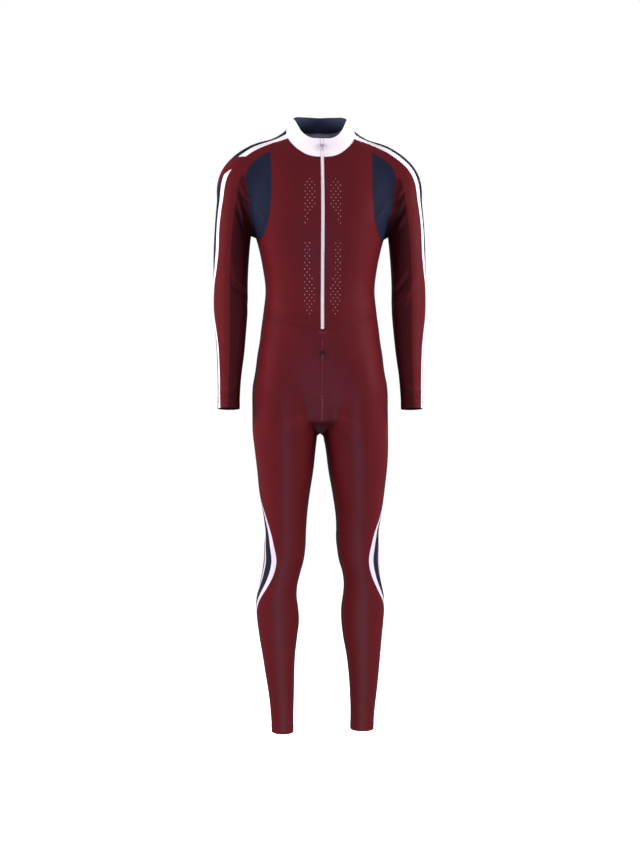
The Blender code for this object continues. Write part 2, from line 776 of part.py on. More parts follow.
def make_upper():
    seams = upper_seams()
    waist_front, waist_back = waist_stations()
    zip_edge = zip_edge_line()
    first = waist_front[0] + (waist_front[1] - waist_front[0]) * ZIP_HALF / waist_front[1, 0]
    zip_edge[-1] = first
    zip_edge[0] = seams["neck_front"][0]
    front_bottom = np.vstack([first, waist_front[1:]])
    front_outer = chain(seams["stripe_lead"], seams["shoulder_drop"], seams["chest_inner"], seams["side"])
    armhole = chain(seams["armhole_upper"], seams["armhole_lower"])
    for side in (1, -1):
        def lay(name, colour, top, bottom, left, right):
            grid = patch(*(flip(line, side) for line in (top, bottom, left, right)))
            cloth(side_name(name, side), grid, colour)

        lay("front", "maroon", seams["neck_front"], front_bottom, zip_edge, front_outer)
        chest_top = point_line(armhole[0], ACROSS_CHEST)
        tip = point_line(seams["chest_inner"][-1], ACROSS_CHEST)
        lay("chest_panel", "navy", chest_top, tip, seams["chest_inner"], chain(armhole, seams["under_arm"]))
        sleeve_inner = chain(seams["shoulder_drop"], seams["armhole_upper"], seams["sleeve_fore"])
        shoulder = point_line(seams["stripe_front"][0], ACROSS_SLEEVE_FRONT)
        lay("sleeve_front", "maroon", shoulder, seams["cuff_front"], seams["stripe_front"], sleeve_inner)
        stripe_fore = chain(seams["stripe_lead"], seams["stripe_front"])
        lay("sleeve_stripe", "striped", seams["neck_stripe"], seams["cuff_stripe"], stripe_fore,
            seams["stripe_back"])
        lay("sleeve_back", "maroon", seams["neck_sleeve"], seams["cuff_back"], seams["stripe_back"],
            chain(seams["raglan_back"], seams["sleeve_aft"]))
        under_arm = chain(seams["armhole_lower"], seams["armhole_back"][::-1])
        lines = (under_arm, seams["cuff_under"], seams["sleeve_fore"], seams["sleeve_aft"])
        inner_sleeve = patch(*(flip(line, side) for line in lines))
        armpit = len(seams["armhole_lower"]) - 1
        cloth(side_name("under_sleeve_fore", side), inner_sleeve[:, : armpit + 1], "maroon")
        cloth(side_name("under_sleeve_aft", side), inner_sleeve[:, armpit:], "maroon")

    back_edge = chain(seams["raglan_back"], seams["armhole_back"], seams["under_arm"], seams["side"])
    neck_back = chain(seams["neck_back"], flip(seams["neck_back"], -1)[::-1])
    waist = chain(waist_back, flip(waist_back, -1)[::-1])
    cloth("back", patch(neck_back, waist, back_edge, flip(back_edge, -1)), "maroon")
    return zip_edge


def make_collar(zip_edge):
    """The stand collar, its facing and the closed zip tape between both fronts."""
    angles = neck_angles()
    seam = neckline_at(angles)
    top_zip = edge_at_x(lambda a: neckline_at(a, 1), ZIP_HALF)
    share = (angles - angles[0]) / (180 - angles[0])
    top = neckline_at(top_zip + share * (180 - top_zip), 1)
    whole_seam = chain(seam, flip(seam, -1)[::-1])
    whole_top = chain(top, flip(top, -1)[::-1])
    edge = even_line([top[0], seam[0]], COLLAR_ROWS)
    cloth("collar", patch(whole_top, whole_seam, edge, flip(edge, -1)), "white")

    facing_low = smooth_table(FACING_EDGE, angles)[:, 0]
    low = top + (seam - top) * facing_low[:, None]
    low = settle(low)
    whole_low = chain(low, flip(low, -1)[::-1])
    facing_edge = even_line([top[0], low[0]], FACING_ROWS)
    grid = patch(whole_top, whole_low, facing_edge, flip(facing_edge, -1))
    cloth("collar_facing", grid, "navy", wall=1.0, sunk=WALL + FACING_GAP)

    left = chain(edge, zip_edge)
    across = np.linspace(-1, 1, 3)
    ends = [cast([[ZIP_HALF * a, 0, line[2]] for a in across], [0, -1, 0]) for line in (left[0], left[-1])]
    for end, line in zip(ends, (left[0], left[-1])):
        end[0], end[-1] = flip(line, -1), line
    cloth("zip_tape", patch(ends[0], ends[1], flip(left, -1), left), "white")


# --- Legs ----------------------------------------------------------------------------------------------


def make_legs():
    waist_front, waist_back = waist_stations()
    turn_steps = RISE // 2
    stripe_top, back_top = waist_back[: ACROSS_STRIPE + 1], waist_back[ACROSS_STRIPE:]
    rise = {}
    for facing, start, angle in ((-1, waist_front[0], 0), (1, waist_back[-1], 180)):
        heights = np.linspace(start[2], CROTCH_TURN, RISE - turn_steps + 1)
        upper = round_torso(0 * heights + angle, heights)
        under = crotch_line(facing, turn_steps)
        line = chain(upper[:-1], under)
        line[0] = start
        rise[facing] = even_line(line, RISE)
    crotch = rise[-1][-1]
    rise[1][-1] = crotch
    for side in (1, -1):
        low = np.linspace(crotch[2], HEM_HEIGHT, INSEAM + 1)[1:]
        high = np.linspace(waist_front[-1, 2], low[0], RISE + 2)[:-1]
        heights = np.concatenate([high, low])
        angle, width = smooth_table(LEG_STRIPE, heights).T
        _, _, half, depth = leg_section(side, heights)
        radius = np.where(heights > -700, 118, 0.5 * (half + depth))
        fore = round_leg(side, angle, heights)
        aft = round_leg(side, angle - np.degrees(width / radius), heights)
        ease = np.clip((waist_front[-1, 2] - heights) / 120, 0, 1)[:, None]
        fore += (flip(waist_front[-1], side) - fore[0]) * (1 - ease)
        aft += (flip(back_top[0], side) - aft[0]) * (1 - ease)
        fore[1:-1], aft[1:-1] = settle(fore[1:-1]), settle(aft[1:-1])
        inseam = np.vstack([crotch, round_leg(side, 0 * low + 180, low)])

        def hem(start, end, steps):
            turn = np.linspace(start, end, steps + 1)
            return round_leg(side, turn, 0 * turn + HEM_HEIGHT)

        behind = angle[-1] - math.degrees(width[-1] / radius[-1])
        hem_front = hem(180, angle[-1], ZIP_TO_SHOULDER)
        hem_stripe = hem(angle[-1], behind, ACROSS_STRIPE)
        hem_back = hem(behind, -180, ACROSS_HALF_BACK - ACROSS_STRIPE)
        tops = [flip(line, side) for line in (waist_front, stripe_top, back_top)]
        front = leg_patch(side, -1, tops[0], hem_front, chain(rise[-1], inseam), fore)
        cloth(side_name("leg_front", side), front, "maroon")
        cloth(side_name("leg_stripe", side), patch(tops[1], hem_stripe, fore, aft), "striped")
        back = leg_patch(side, 1, tops[2], hem_back, aft, chain(rise[1], inseam))
        cloth(side_name("leg_back", side), back, "maroon")


# --- Sliders and pull tabs -----------------------------------------------------------------------------


def frame_on_front(height):
    """Point on the centre front and the surface's own right, outward and up directions there."""
    point = round_torso(np.array([0.0]), np.array([float(height)]))[0]
    out = outward_normal(point[None])[0]
    out[0] = 0
    out /= np.linalg.norm(out)
    return point, np.array([1.0, 0.0, 0.0]), out, np.cross(out, [1.0, 0.0, 0.0])


def loft(profile, thickness):
    """Points of a flat outline twice, below and above, for a plate of a given thickness."""
    profile = np.array(profile, dtype=float)
    low = np.column_stack([profile[:, 0], 0 * profile[:, 0], profile[:, 1]])
    return low, low + [0, thickness, 0]


def rounded(width, top, bottom, corner, steps=3):
    """Outline of an upright rectangle with round corners, as across and up values."""
    points = []
    corners = ((1, 1, top), (-1, 1, top), (-1, -1, bottom), (1, -1, bottom))
    for k, (sx, sz, edge) in enumerate(corners):
        for step in range(steps + 1):
            turn = math.radians(90 * (k + step / steps))
            x = sx * (width / 2 - corner) + corner * math.cos(turn)
            points.append((x, edge - sz * corner + corner * math.sin(turn)))
    return points


def place(points, base, lift):
    """Slider coordinates (across, out, up) turned into the suit's, lift above the cloth."""
    point, right, out, up = base
    points = np.array(points) + [0, lift, 0]
    return point + points[:, :1] * right + points[:, 1:2] * out + points[:, 2:] * up


def ring_plate(outer, inner, thickness):
    """A plate with a hole: outlines of equal count, joined by quads."""
    n = len(outer)
    points = np.vstack([line for outline in (outer, inner) for line in loft(outline, thickness)])
    faces = []
    for k in range(n):
        m = (k + 1) % n
        faces += [(k, m, 2 * n + m, 2 * n + k), (n + k, 3 * n + k, 3 * n + m, n + m)]
        faces += [(k, n + k, n + m, m), (2 * n + k, 2 * n + m, 3 * n + m, 3 * n + k)]
    return points, faces


def solid_plate(outline, thickness):
    n = len(outline)
    low, high = loft(outline, thickness)
    faces = [tuple(range(n)), tuple(range(2 * n - 1, n - 1, -1))]
    faces += [(k, n + k, n + (k + 1) % n, (k + 1) % n) for k in range(n)]
    return np.vstack([low, high]), faces


def mesh_of(name, points, faces):
    mesh = bpy.data.meshes.new(name)
    mesh.from_pydata((np.asarray(points) * MM).tolist(), [], faces)
    return mesh


def make_slider(name, height, colour):
    """A slider: a rounded body with an arch over its face, one piece; the arch is joined by a union."""
    base = frame_on_front(height)
    body, faces = solid_plate(rounded(SLIDER_WIDTH, SLIDER_LENGTH / 2, -SLIDER_LENGTH / 2, 2.6), SLIDER_THICK)
    piece = finish(name, mesh_of(name, place(body, base, SLIDER_LIFT), faces), colour)

    half, crown = ARCH_SPAN / 2, ARCH_CLEAR + ARCH_BAR
    sunk = 0.8
    side_view = [
        (half, -sunk), (half, crown - 0.5), (half - 0.5, crown), (0.5 - half, crown), (-half, crown - 0.5),
        (-half, -sunk), (ARCH_BAR - half, -sunk), (ARCH_BAR - half, ARCH_CLEAR), (half - ARCH_BAR, ARCH_CLEAR),
        (half - ARCH_BAR, -sunk),
    ]
    low = [(-ARCH_WIDTH / 2, out, up) for up, out in side_view]
    high = [(ARCH_WIDTH / 2, out, up) for up, out in side_view]
    n = len(side_view)
    faces = [tuple(range(n)), tuple(range(2 * n - 1, n - 1, -1))]
    faces += [(k, n + k, n + (k + 1) % n, (k + 1) % n) for k in range(n)]
    points = place(low + high, base, SLIDER_LIFT + SLIDER_THICK)
    arch = finish(name + "_arch", mesh_of(name + "_arch", points, faces), colour)
    arch.hide_render = True
    arch.display_type = "WIRE"
    union = piece.modifiers.new("arch", "BOOLEAN")
    union.operation = "UNION"
    union.object = arch


def make_tab(name, height, colour):
    """A pull tab that turns on its top bar under the slider's arch; its parent empty is on that axis."""
    base = frame_on_front(height)
    lift = SLIDER_LIFT + SLIDER_THICK + TAB_CLEAR
    pivot = place([[0, TAB_THICK / 2, 0]], base, lift)[0]
    axis = bpy.data.objects.new(name + "_axis", None)
    axis.location = (pivot * MM).tolist()
    bpy.context.scene.collection.objects.link(axis)
    outer = rounded(TAB_WIDTH, TAB_BAR / 2, -TAB_LENGTH, 1.2)
    inner = rounded(TAB_SLOT_WIDTH, -TAB_BAR / 2, -TAB_SLOT_END, 0.5)
    points, faces = ring_plate(outer, inner, TAB_THICK)
    finish(name, mesh_of(name, place(points, base, lift) - pivot, faces), colour, parent=axis)


def main():
    for old in list(bpy.data.objects):
        bpy.data.objects.remove(old)
    zip_edge = make_upper()
    make_collar(zip_edge)
    make_legs()
    for name, height, colour in (("zip", ZIP_SLIDER_HEIGHT, "white_metal"), ("fly", FLY_SLIDER_HEIGHT, "dark_metal")):
        make_slider(name + "_slider", height, colour)
        make_tab(name + "_pull", height, colour)


main()
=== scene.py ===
"""Looks of the cross-country ski race suit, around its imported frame.

Every cut piece is laid again on the same body form with a finer grid, as a thin wall with its creases,
and the threads, zip, sliders, tabs and perforations are laid on the cloth. Lengths are in millimetres
until a mesh is made; +Z is up, the suit faces -Y and +X is the wearer's left.
"""

import math

import bmesh
import bpy
import numpy as np
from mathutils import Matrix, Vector


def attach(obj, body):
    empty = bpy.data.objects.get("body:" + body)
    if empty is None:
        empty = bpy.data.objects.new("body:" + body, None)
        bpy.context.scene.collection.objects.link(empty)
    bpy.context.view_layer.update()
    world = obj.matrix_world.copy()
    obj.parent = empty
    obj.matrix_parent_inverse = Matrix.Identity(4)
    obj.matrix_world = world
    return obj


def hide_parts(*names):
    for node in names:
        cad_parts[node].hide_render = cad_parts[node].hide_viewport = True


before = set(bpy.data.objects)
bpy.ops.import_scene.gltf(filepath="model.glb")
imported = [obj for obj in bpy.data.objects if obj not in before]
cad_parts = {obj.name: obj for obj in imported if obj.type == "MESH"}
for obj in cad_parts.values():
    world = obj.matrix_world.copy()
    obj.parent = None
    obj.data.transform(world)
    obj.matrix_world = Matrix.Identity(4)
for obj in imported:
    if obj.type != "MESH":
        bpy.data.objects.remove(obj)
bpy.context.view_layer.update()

MM = 0.001
TINY = 0.001          # keeps a distance defined on a limb's own middle line
RAY_STEPS = 66        # samples along a ray that looks for the form's outside, then halvings of the last step
HALVINGS = 16
LONGEST_STEP = 12     # that a point moves in one round of settling
SMOOTH_STEPS = 400    # of a smooth line before it is cut into its stations
SHELL = 0.9           # thickness of the cloth
SEAM_GAP = 0.3        # clear space between two sewn pieces
HEM_WIDTH = 17.0      # folded-over cloth at cuffs and ankle hems
HEM_STEP = 0.45
HEM_SOFT = 0.7        # softness of the step at the hem's upper edge
HEM_STITCH_IN = 1.5   # groove of the hem's stitching below that edge, its half width and its depth
HEM_STITCH_HALF = 1.1
HEM_STITCH_DEPTH = 0.25
RIPPLE = 0.22         # height of the long, low waves
CREASE_REACH = 3.2    # half widths from a crease beyond which it isn't felt
FOLD_SHADE = 0.13     # painted shade and light: how much darker a trough and lighter a ridge is painted, for each millimetre
SEAM_HALF = 1.2       # half width of a seam's covering threads
SEAM_HEIGHT = 0.2
THREAD_SUNK = 0.15    # how far threads sink into the cloth
COLLAR_WALL = 1.2
FACING_WALL = 0.8
FACING_SUNK = 1.5     # how far the facing's outer side lies under the collar's
TAPE_SUNK = 0.5
TAPE_STEPS = 6
TOOTH_PITCH = 1.6
TOOTH_HALF = (1.15, 0.42, 0.55)   # half sizes of a tooth: across, along and out
TOOTH_OFFSET = 0.62   # from the zip's middle line
TOOTH_LIFT = 0.05
POINT_PULL = 4        # an edge drawn to a point moves in this many times as far as the others
PERFORATION_COLUMN = 5.7
PERFORATION_ROW = 7.7
PERFORATION_RADIUS = 0.9
PERFORATION_MIDDLE = 31.5
PERFORATION_RINGS = [(1.05, -0.1), (0.95, 0.16), (0.4, 0.14), (0.3, -0.1)]   # share of the radius, height

# Cross-section of a covering thread: a flat cord with a low round top, as shares of half width and height.
THREAD_PROFILE = np.array([(-1, 0), (-0.72, 0.62), (-0.3, 0.95), (0.3, 0.95), (0.72, 0.62), (1, 0),
                           (0.6, -0.5), (-0.6, -0.5)])

# Straight rows of stitches down the front: half width, height, thread, slot, count of points, and each
# row's x with its two ends.
STITCH_ROWS = {
    "collar_stitching": (0.55, 0.18, "white_thread", "white_cloth", 16,
                         [(-11.5, -24, -67), (11.5, -24, -67)]),
    "fly_stitching": (0.45, 0.22, "thread", "maroon_cloth", 50,
                      [(-4.5, -503, -640), (4.5, -503, -640)]),
    "fly_edge": (1.1, 0.5, "dark_thread", "maroon_cloth", 50, [(0, -512, -648)]),
    # the crotch stitching's pale thread is partly a painted highlight
    "crotch_stitching": (1.3, 0.45, "pale_thread_and_highlight", "maroon_cloth", 30, [(0, -655, -712)]),
}

# Bar tacks under and over the fly: half width, points, height in the middle, rise for the square of x.
BAR_TACKS = [(4, 9, -652, -0.02), (9, 15, -500, 0.03)]
HEM_ROWS = (3.2, 0.4)     # the hem's two rows of stitches, below its upper edge

# Colours of the printed cloth and of the stage, sRGB; the others stand in LOOKS.
MAROON = "#521319"
NAVY = "#191d2e"
STRIPE_WHITE = "#e6dde4"
BACKDROP = "#ffffff"
WORLD = "#ffffff"

SLEEVE_PRINT = (0.24, 0.76)      # shares across the cloth where navy starts and ends
LEG_PRINT = (0.27, 0.73)
PATCH_CUTS = ((0.116, 0.08), (0.162, 0.13))   # along the sleeve in metres, and how far each cut slants

# Perforated fields: height of the first row, rows, and the outline as share of the rows with the lowest
# and highest of the columns, counted from -2 next to the zip to 2 outwards.
PERFORATIONS = [
    (-127, 15, [(0, 0, 0), (0.15, -2, 2), (0.6, -2, 2), (1, 2, 2)]),
    (-283, 23, [(0, 0, 2), (0.35, 0, 2), (0.5, -1, 2), (0.65, -2, 2), (0.88, -2, 2), (1, 0, 0)]),
]

# Creases, ridges (+) and troughs (-): which side (0 both), from, towards, to, half width, height.
CREASES = [
    # side, from x, y, z,  towards x, y, z,  to x, y, z,  width, height
    (1, 202, -50, -142, 194, -54, -160, 182, -56, -170, 4.1, 3.1),
    (1, 206, -49, -150, 196, -54, -172, 180, -58, -186, 3.9, -2.9),
    (1, 206, -50, -164, 194, -56, -192, 174, -56, -212, 4.8, 3.6),
    (1, 208, -48, -182, 194, -54, -210, 172, -50, -228, 4.4, -3.1),
    (1, 206, -46, -204, 196, -50, -226, 178, -40, -246, 4.8, 2.3),
    (-1, 200, -50, -136, 190, -56, -160, 178, -58, -176, 4.1, 2.9),
    (-1, 204, -49, -146, 192, -56, -174, 174, -58, -194, 4.1, -2.8),
    (-1, 206, -49, -164, 196, -54, -200, 176, -52, -222, 4.8, 3.3),
    (-1, 208, -48, -190, 198, -52, -220, 184, -42, -250, 4.4, -2.5),
    (1, 172, -66, -176, 158, -80, -206, 144, -90, -238, 4.6, 2.3),
    (1, 164, -70, -168, 150, -84, -200, 134, -94, -226, 4.6, -1.9),
    (-1, 172, -68, -190, 160, -78, -212, 150, -84, -236, 4.6, 2),
    (0, 190, 58, -160, 176, 74, -196, 158, 72, -224, 5.9, 3.1),
    (0, 204, 52, -176, 180, 66, -214, 160, 60, -236, 4.8, -2.9),
    (0, 176, 74, -182, 150, 92, -204, 128, 98, -222, 6.9, 2.2),
    (1, 216, -45, -334, 200, -46, -362, 180, -18, -394, 5.3, 3.1),
    (1, 220, -46, -352, 204, -45, -376, 184, -16, -408, 4.4, -2.6),
    (1, 228, -42, -366, 219, -48, -396, 208, -42, -426, 4.8, 2.6),
    (1, 218, -46, -394, 204, -43, -412, 184, -8, -430, 4.6, 2.2),
    (-1, 222, -46, -300, 216, -47, -340, 212, -46, -376, 5.8, 1.9),
    (-1, 218, -45, -352, 202, -44, -376, 184, -14, -402, 4.8, 2.2),
    (-1, 222, -44, -378, 206, -42, -398, 186, -6, -420, 4.1, -2),
    (0, 250, 24, -396, 236, 44, -416, 210, 42, -428, 4.8, 2.6),
    (0, 254, 14, -420, 240, 38, -436, 212, 38, -448, 3.9, -2.3),
    (0, 240, 36, -452, 222, 44, -464, 200, 32, -470, 4.8, 1.9),
    (0, 200, -46, -622, 222, -56, -630, 250, -38, -642, 4.8, 1.6),
    (0, 204, -52, -648, 226, -60, -655, 248, -44, -660, 3.9, -1.2),
    (0, 206, 4, -600, 224, 14, -612, 246, 2, -622, 4.8, 1.6),
    (0, 128, -60, -420, 108, -84, -436, 70, -96, -440, 6.8, 1),
    (0, 134, -40, -452, 112, -80, -470, 84, -92, -474, 6, -1),
    (0, 132, 40, -400, 100, 70, -420, 50, 84, -424, 7.6, 1.6),
    (0, 134, 34, -428, 104, 68, -446, 56, 84, -450, 6.8, -1.3),
    (0, 28, -84, -700, 60, -92, -718, 104, -86, -722, 7.6, 1.2),
    (0, 12, -60, -722, 40, -84, -748, 80, -88, -764, 6, -1),
    (0, 24, 96, -706, 60, 106, -728, 110, 92, -738, 7.6, 1.7),
    (0, 16, 74, -732, 54, 96, -758, 100, 90, -772, 6.8, -1.3),
    (1, 44, 30, -1000, 62, 56, -1022, 96, 60, -1034, 6, 1.7),
    (1, 46, 34, -1036, 66, 56, -1050, 104, 58, -1056, 5.1, -1.6),
    (1, 46, 26, -1062, 70, 52, -1080, 108, 60, -1084, 6, 1.7),
    (-1, 44, 24, -1008, 62, 50, -1026, 98, 54, -1032, 6, 1.6),
    (-1, 48, 28, -1042, 70, 50, -1060, 106, 54, -1062, 5.1, -1.6),
    (-1, 52, 22, -1072, 74, 48, -1092, 110, 56, -1090, 6, 1.3),
    (1, 44, -10, -960, 42, 6, -1000, 50, 24, -1030, 4.2, 1.2),
    (0, 70, -34, -1420, 92, -38, -1432, 116, -26, -1440, 5.1, 0.9),
    (0, 72, 30, -1400, 94, 42, -1416, 118, 30, -1424, 5.1, 1),
]

# Stage.
CAMERA_AWAY = 3.2
CAMERA_HEIGHT = -0.726
CAMERA_TURN = 3.5     # degrees towards the suit's right
FOCAL_PIXELS = 1280
FRAME_PIXELS = 853    # height of the picture that the focal length is given for
SENSOR = 36           # millimetres
FLOOR_REACH = 24.0    # metres from its middle to each edge
FLOOR_Z = -1.62
LIGHT_AIM = -0.75
LIGHTS = [
    # name, x, y, z, width, height, power, colour, seen in reflections
    ("left_soft", -2.4, -0.6, 0.1, 0.9, 2.0, 128, "#fffafa", False),
    ("right_soft", 2.4, -0.6, 0.1, 0.9, 2.0, 128, "#fffafa", False),
    ("front_high", 0.0, -3.2, 1.6, 1.6, 1.0, 17, "#f6f4ff", False),
    ("front_low", 0.0, -3.0, -1.35, 0.5, 1.3, 9, "#b4b8ff", True),
    ("floor_bounce", 0.0, -0.8, -1.6, 0.9, 0.5, 6, "#ffffff", False),
]
WORLD_STRENGTH = 0.12
BACKDROP_GLOW = 0.9
EXPOSURE = 0.0

# Counts of mesh steps along each seam, each FINE times those of the solids.
FINE = 5
ZIP_TO_SHOULDER = 7 * FINE   # neckline, zip to stripe; also waist, centre front to side
ACROSS_STRIPE = 2 * FINE
ACROSS_SLEEVE_BACK = 4 * FINE
ACROSS_HALF_BACK = 8 * FINE
ACROSS_SLEEVE_FRONT = 4 * FINE
ACROSS_CHEST = 3 * FINE
ARMHOLE_UPPER = 4 * FINE
ARMHOLE_LOWER = 3 * FINE
CHEST_SEAM = ARMHOLE_UPPER + ARMHOLE_LOWER + FINE
SIDE_SEAM = 6 * FINE
ZIP_ROWS = 3 * FINE + CHEST_SEAM + SIDE_SEAM
SLEEVE_SEAM = 42 * FINE
RAGLAN_BACK = 7 * FINE
RISE = 8 * FINE              # centre seam, waist to crotch
INSEAM = 22 * FINE
NECK_COUNTS = (ZIP_TO_SHOULDER, ACROSS_STRIPE, ACROSS_SLEEVE_BACK, ACROSS_HALF_BACK)
COLLAR_ROWS = 3 * FINE
FACING_ROWS = 2 * FINE

# Torso sections: height, half width, front and back of the form from y = 0.
TORSO = [
    # z,  half, front, back
    (30, 20, -12, 40),
    (10, 55, -34, 62),
    (-15, 92, -54, 80),
    (-45, 134, -74, 94),
    (-80, 166, -91, 106),
    (-120, 181, -105, 114),
    (-170, 181, -114, 117),
    (-220, 172, -116, 113),
    (-270, 156, -112, 104),
    (-330, 143, -104, 92),
    (-385, 136, -98, 84),
    (-440, 141, -96, 85),
    (-500, 149, -97, 96),
    (-560, 152, -95, 110),
    (-620, 128, -86, 112),
    (-652, 98, -78, 102),
    (-680, 66, -64, 84),
    (-700, 44, -46, 60),
    (-712, 24, -26, 36),
    (-719, 8, -5, 14),
]
TORSO_SQUARENESS = 2.25
NECK_SQUARENESS = 2.0
LEG_SQUARENESS = 2.1
WAIST_RADIUS = 118    # of the sides of the waist, which the stripes' widths are laid round

# Neck sections, leaning forward as they rise.
NECK = [
    # z,  half, front, back
    (-110, 90, -80, 88),
    (-60, 84, -71, 78),
    (-21, 81, -64, 70),
    (0, 78, -61, 66),
    (22, 73, -57, 61),
    (42, 66.5, -55, 59),
    (58, 63.5, -53, 57),
    (110, 62, -50, 54),
]

# Arm: points on its middle line from the neck over the shoulder to past the cuff, with the four half
# widths of the section there (outer or upper, inner or lower, front, back).
ARM = [
    # x,   y,    z,  out, inn, front, back
    (45, 14, -34, 50, 40, 48, 52),
    (100, 12, -53, 49, 46, 52, 56),
    (153, 10, -76, 55, 50, 56, 60),
    (193, 8, -116, 59, 52, 58, 60),
    (206, 7, -175, 52, 47, 56, 58),
    (214, 6, -235, 49, 44, 53, 54),
    (220, 5, -310, 45.5, 43, 50, 50),
    (222, 3, -375, 43, 42, 48, 48),
    (222, 0, -430, 43, 42, 46, 46),
    (222, -5, -490, 38.5, 38, 42, 42),
    (223, -12, -545, 34, 34, 38, 37),
    (225, -19, -600, 30, 29, 32, 31),
    (226.5, -25, -650, 27.5, 27, 29, 28),
    (227, -29, -690, 27, 26.5, 28, 28),
    (227, -35, -760, 27, 26.5, 28, 28),
]
CUFF_REACH = 743      # cuff's distance along the arm's middle line
CUFF_RADIUS = 27.4
ARM_END = 45          # how far the arm's form rounds out past either end of its middle line

# Leg sections: height, outer and inner side of the right and of the left leg from x = 0, front, back.
LEG = [
    # z,  out_r, in_r, out_l, in_l, front, back
    (-500, 120, 40, 120, 40, -40, 50),
    (-560, 151, 22, 151, 22, -76, 96),
    (-620, 167, 12, 168, 12, -92, 116),
    (-690, 169, 7, 171, 7, -93, 113),
    (-745, 167.5, 6.5, 171, 7.5, -91, 102),
    (-775, 164, 10, 171, 13, -89, 96),
    (-835, 157, 17, 168, 21, -85, 87),
    (-895, 151, 26, 161, 32, -79, 79),
    (-955, 140, 33, 153, 40, -71, 70),
    (-985, 137, 35, 148, 41, -67, 66),
    (-1030, 140, 37, 149, 43, -62, 59),
    (-1060, 141, 41, 149, 48, -59, 56),
    (-1090, 145, 49, 151, 57, -55, 58),
    (-1120, 151, 56, 156, 61, -51, 64),
    (-1150, 158, 58, 162, 59, -49, 70),
    (-1180, 159.5, 54, 163.5, 55, -47, 73),
    (-1210, 157, 52, 162, 55, -45, 73),
    (-1255, 151, 57, 158, 60, -42, 67),
    (-1300, 143, 62, 154, 68, -38, 57),
    (-1345, 136, 64, 149.5, 73, -35, 48),
    (-1390, 129, 65, 145, 76, -33, 42),
    (-1435, 124, 66, 140, 78, -32, 40),
    (-1475, 121, 66, 137, 78, -33, 42),
    (-1540, 120, 66, 136, 78, -34, 44),
]
CROTCH_TURN = -640    # height from which the centre seam turns under
CROTCH_MIDDLE = 8     # y of the centre seam's middle there
LEFT_LEG_BACK = 20    # how far the left leg's hem stands behind the right one's
LEFT_LEG_FROM = -745  # height from which it leans back
HEM_HEIGHT = -1487

# Fillets between the limbs.
NECK_FILLET = 36
SHOULDER_FILLET = 40
ARMPIT_FILLET = 14
HIP_FILLET = 26
CROTCH_FILLET = 7
ARMPIT_HEIGHT = -235  # the fillet grows from the armpit's to the shoulder's above this height
ARMPIT_RISE = 90
FORK_RISE = 50        # height over the trunk's end in which it grows from the crotch's to the hip's
TRUNK_END = 12        # height over which that end is softened, by the square of the depth over TRUNK_SOFT
TRUNK_SOFT = 16

NECK_MIDDLE = 4.0     # y from which the neckline's angles are counted

# Neckline: angle round the neck from the front, height of the seam, height of the collar's top edge.
NECKLINE = [   # angle, seam, top
    (0, -71, -21), (20, -65, -19), (37, -48, -5), (51, -28, 14), (63, -9, 29), (76, 9, 38),
    (90, 19, 45), (110, 17, 53), (135, 7, 57), (160, -1, 59), (180, -3, 59),
]

# Facing: angle round the neck, share of the collar's height that it covers.
FACING_EDGE = [(0, 0.75), (90, 0.68), (180, 0.56)]   # angle, share
STRIPE_AT_NECK = 58   # angle where the stripe's front edge leaves the neckline
STRIPE_END_AT_NECK = 98
SLEEVE_BACK_AT_NECK = 124
ZIP_HALF = 5          # half of the white zip band that shows
ZIP_EDGE_ANGLE = 2.5  # its edge at the waist

# Waist seam: angle round the torso from the front, height.
WAIST = [(0, -491), (30, -483), (60, -462), (90, -444), (130, -439), (180, -437)]   # angle, z

# Front armhole, seen from the front: below the stripe, round the navy chest panel, to the armpit.
ARMHOLE_FRONT_UPPER = [(124, -49), (156, -67), (178, -89), (187, -117)]   # x, z
ARMHOLE_FRONT_LOWER = [(187, -117), (182, -145), (175, -198), (168, -236)]
ARMPIT = (169, 0, -252)
CHEST_INNER = [(124, -49), (123, -92), (122, -130), (124, -177), (130, -225), (139, -254)]   # x, z
CHEST_TIP_HEIGHT = -272
RAGLAN_BACK_LINE = [(95, -30), (135, -68), (168, -100), (187, -122)]   # x, z
SHOULDER_REACH = 68   # along the arm: where the front leaves the stripe
SIDE_ANGLE = 92       # side seam, round the torso from the front
SLEEVE_SEAM_ANGLE = 86
ARM_SEAM_REACH = 166  # along the arm: where the sleeve seams leave the armhole

# Sleeve stripe: reach along the arm, angle of its front edge from the outer side, width.
SLEEVE_STRIPE = [
    # reach, angle, width
    (40, 57, 54),
    (68, 56, 54),
    (105, 57, 54),
    (140, 57, 54),
    (168, 54, 52),
    (225, 49, 50),
    (285, 45, 48),
    (375, 44, 46),
    (410, 34, 45),
    (440, 17, 44),
    (470, 8, 44),
    (500, 9, 43),
    (540, 22, 42),
    (580, 33, 41),
    (650, 38, 38),
    (745, 41, 36),
]

# Leg stripe: height, angle of its front edge from the outer side, width.
LEG_STRIPE = [
    # z, angle, width
    (-440, -4, 34),
    (-600, -14, 36),
    (-745, -15, 38),
    (-800, -12, 40),
    (-855, -2, 42),
    (-905, 16, 44),
    (-960, 40, 46),
    (-1010, 59, 48),
    (-1060, 71, 48),
    (-1107, 66, 48),
    (-1140, 50, 46),
    (-1170, 28, 44),
    (-1195, 11, 42),
    (-1225, -6, 40),
    (-1265, -17, 38),
    (-1500, -18, 32),
]

STRIPE_HIP_HEIGHT = -700   # the width becomes an angle by the leg's size below, by the waist's above
STRIPE_HIP_SOFT = 9
WAIST_EASE = 120      # height over which the stripe's edges are led to the waist seam's stations

# The largest folds, ridges (+) and troughs (-) on the left half of the form, mirrored to the right.
FOLDS = [
    # from x, y, z,    to x, y, z,     half width, height
    (190, -58, -150, 160, -62, -222, 12, 3.0),
    (202, -52, -170, 172, -42, -236, 11, -2.5),
    (188, 60, -150, 160, 66, -225, 13, 3.0),
    (180, -22, -396, 232, -46, -414, 12, 2.5),
    (182, 10, -420, 214, -44, -442, 11, -2.2),
    (226, 46, -418, 262, 6, -440, 13, 2.4),
]

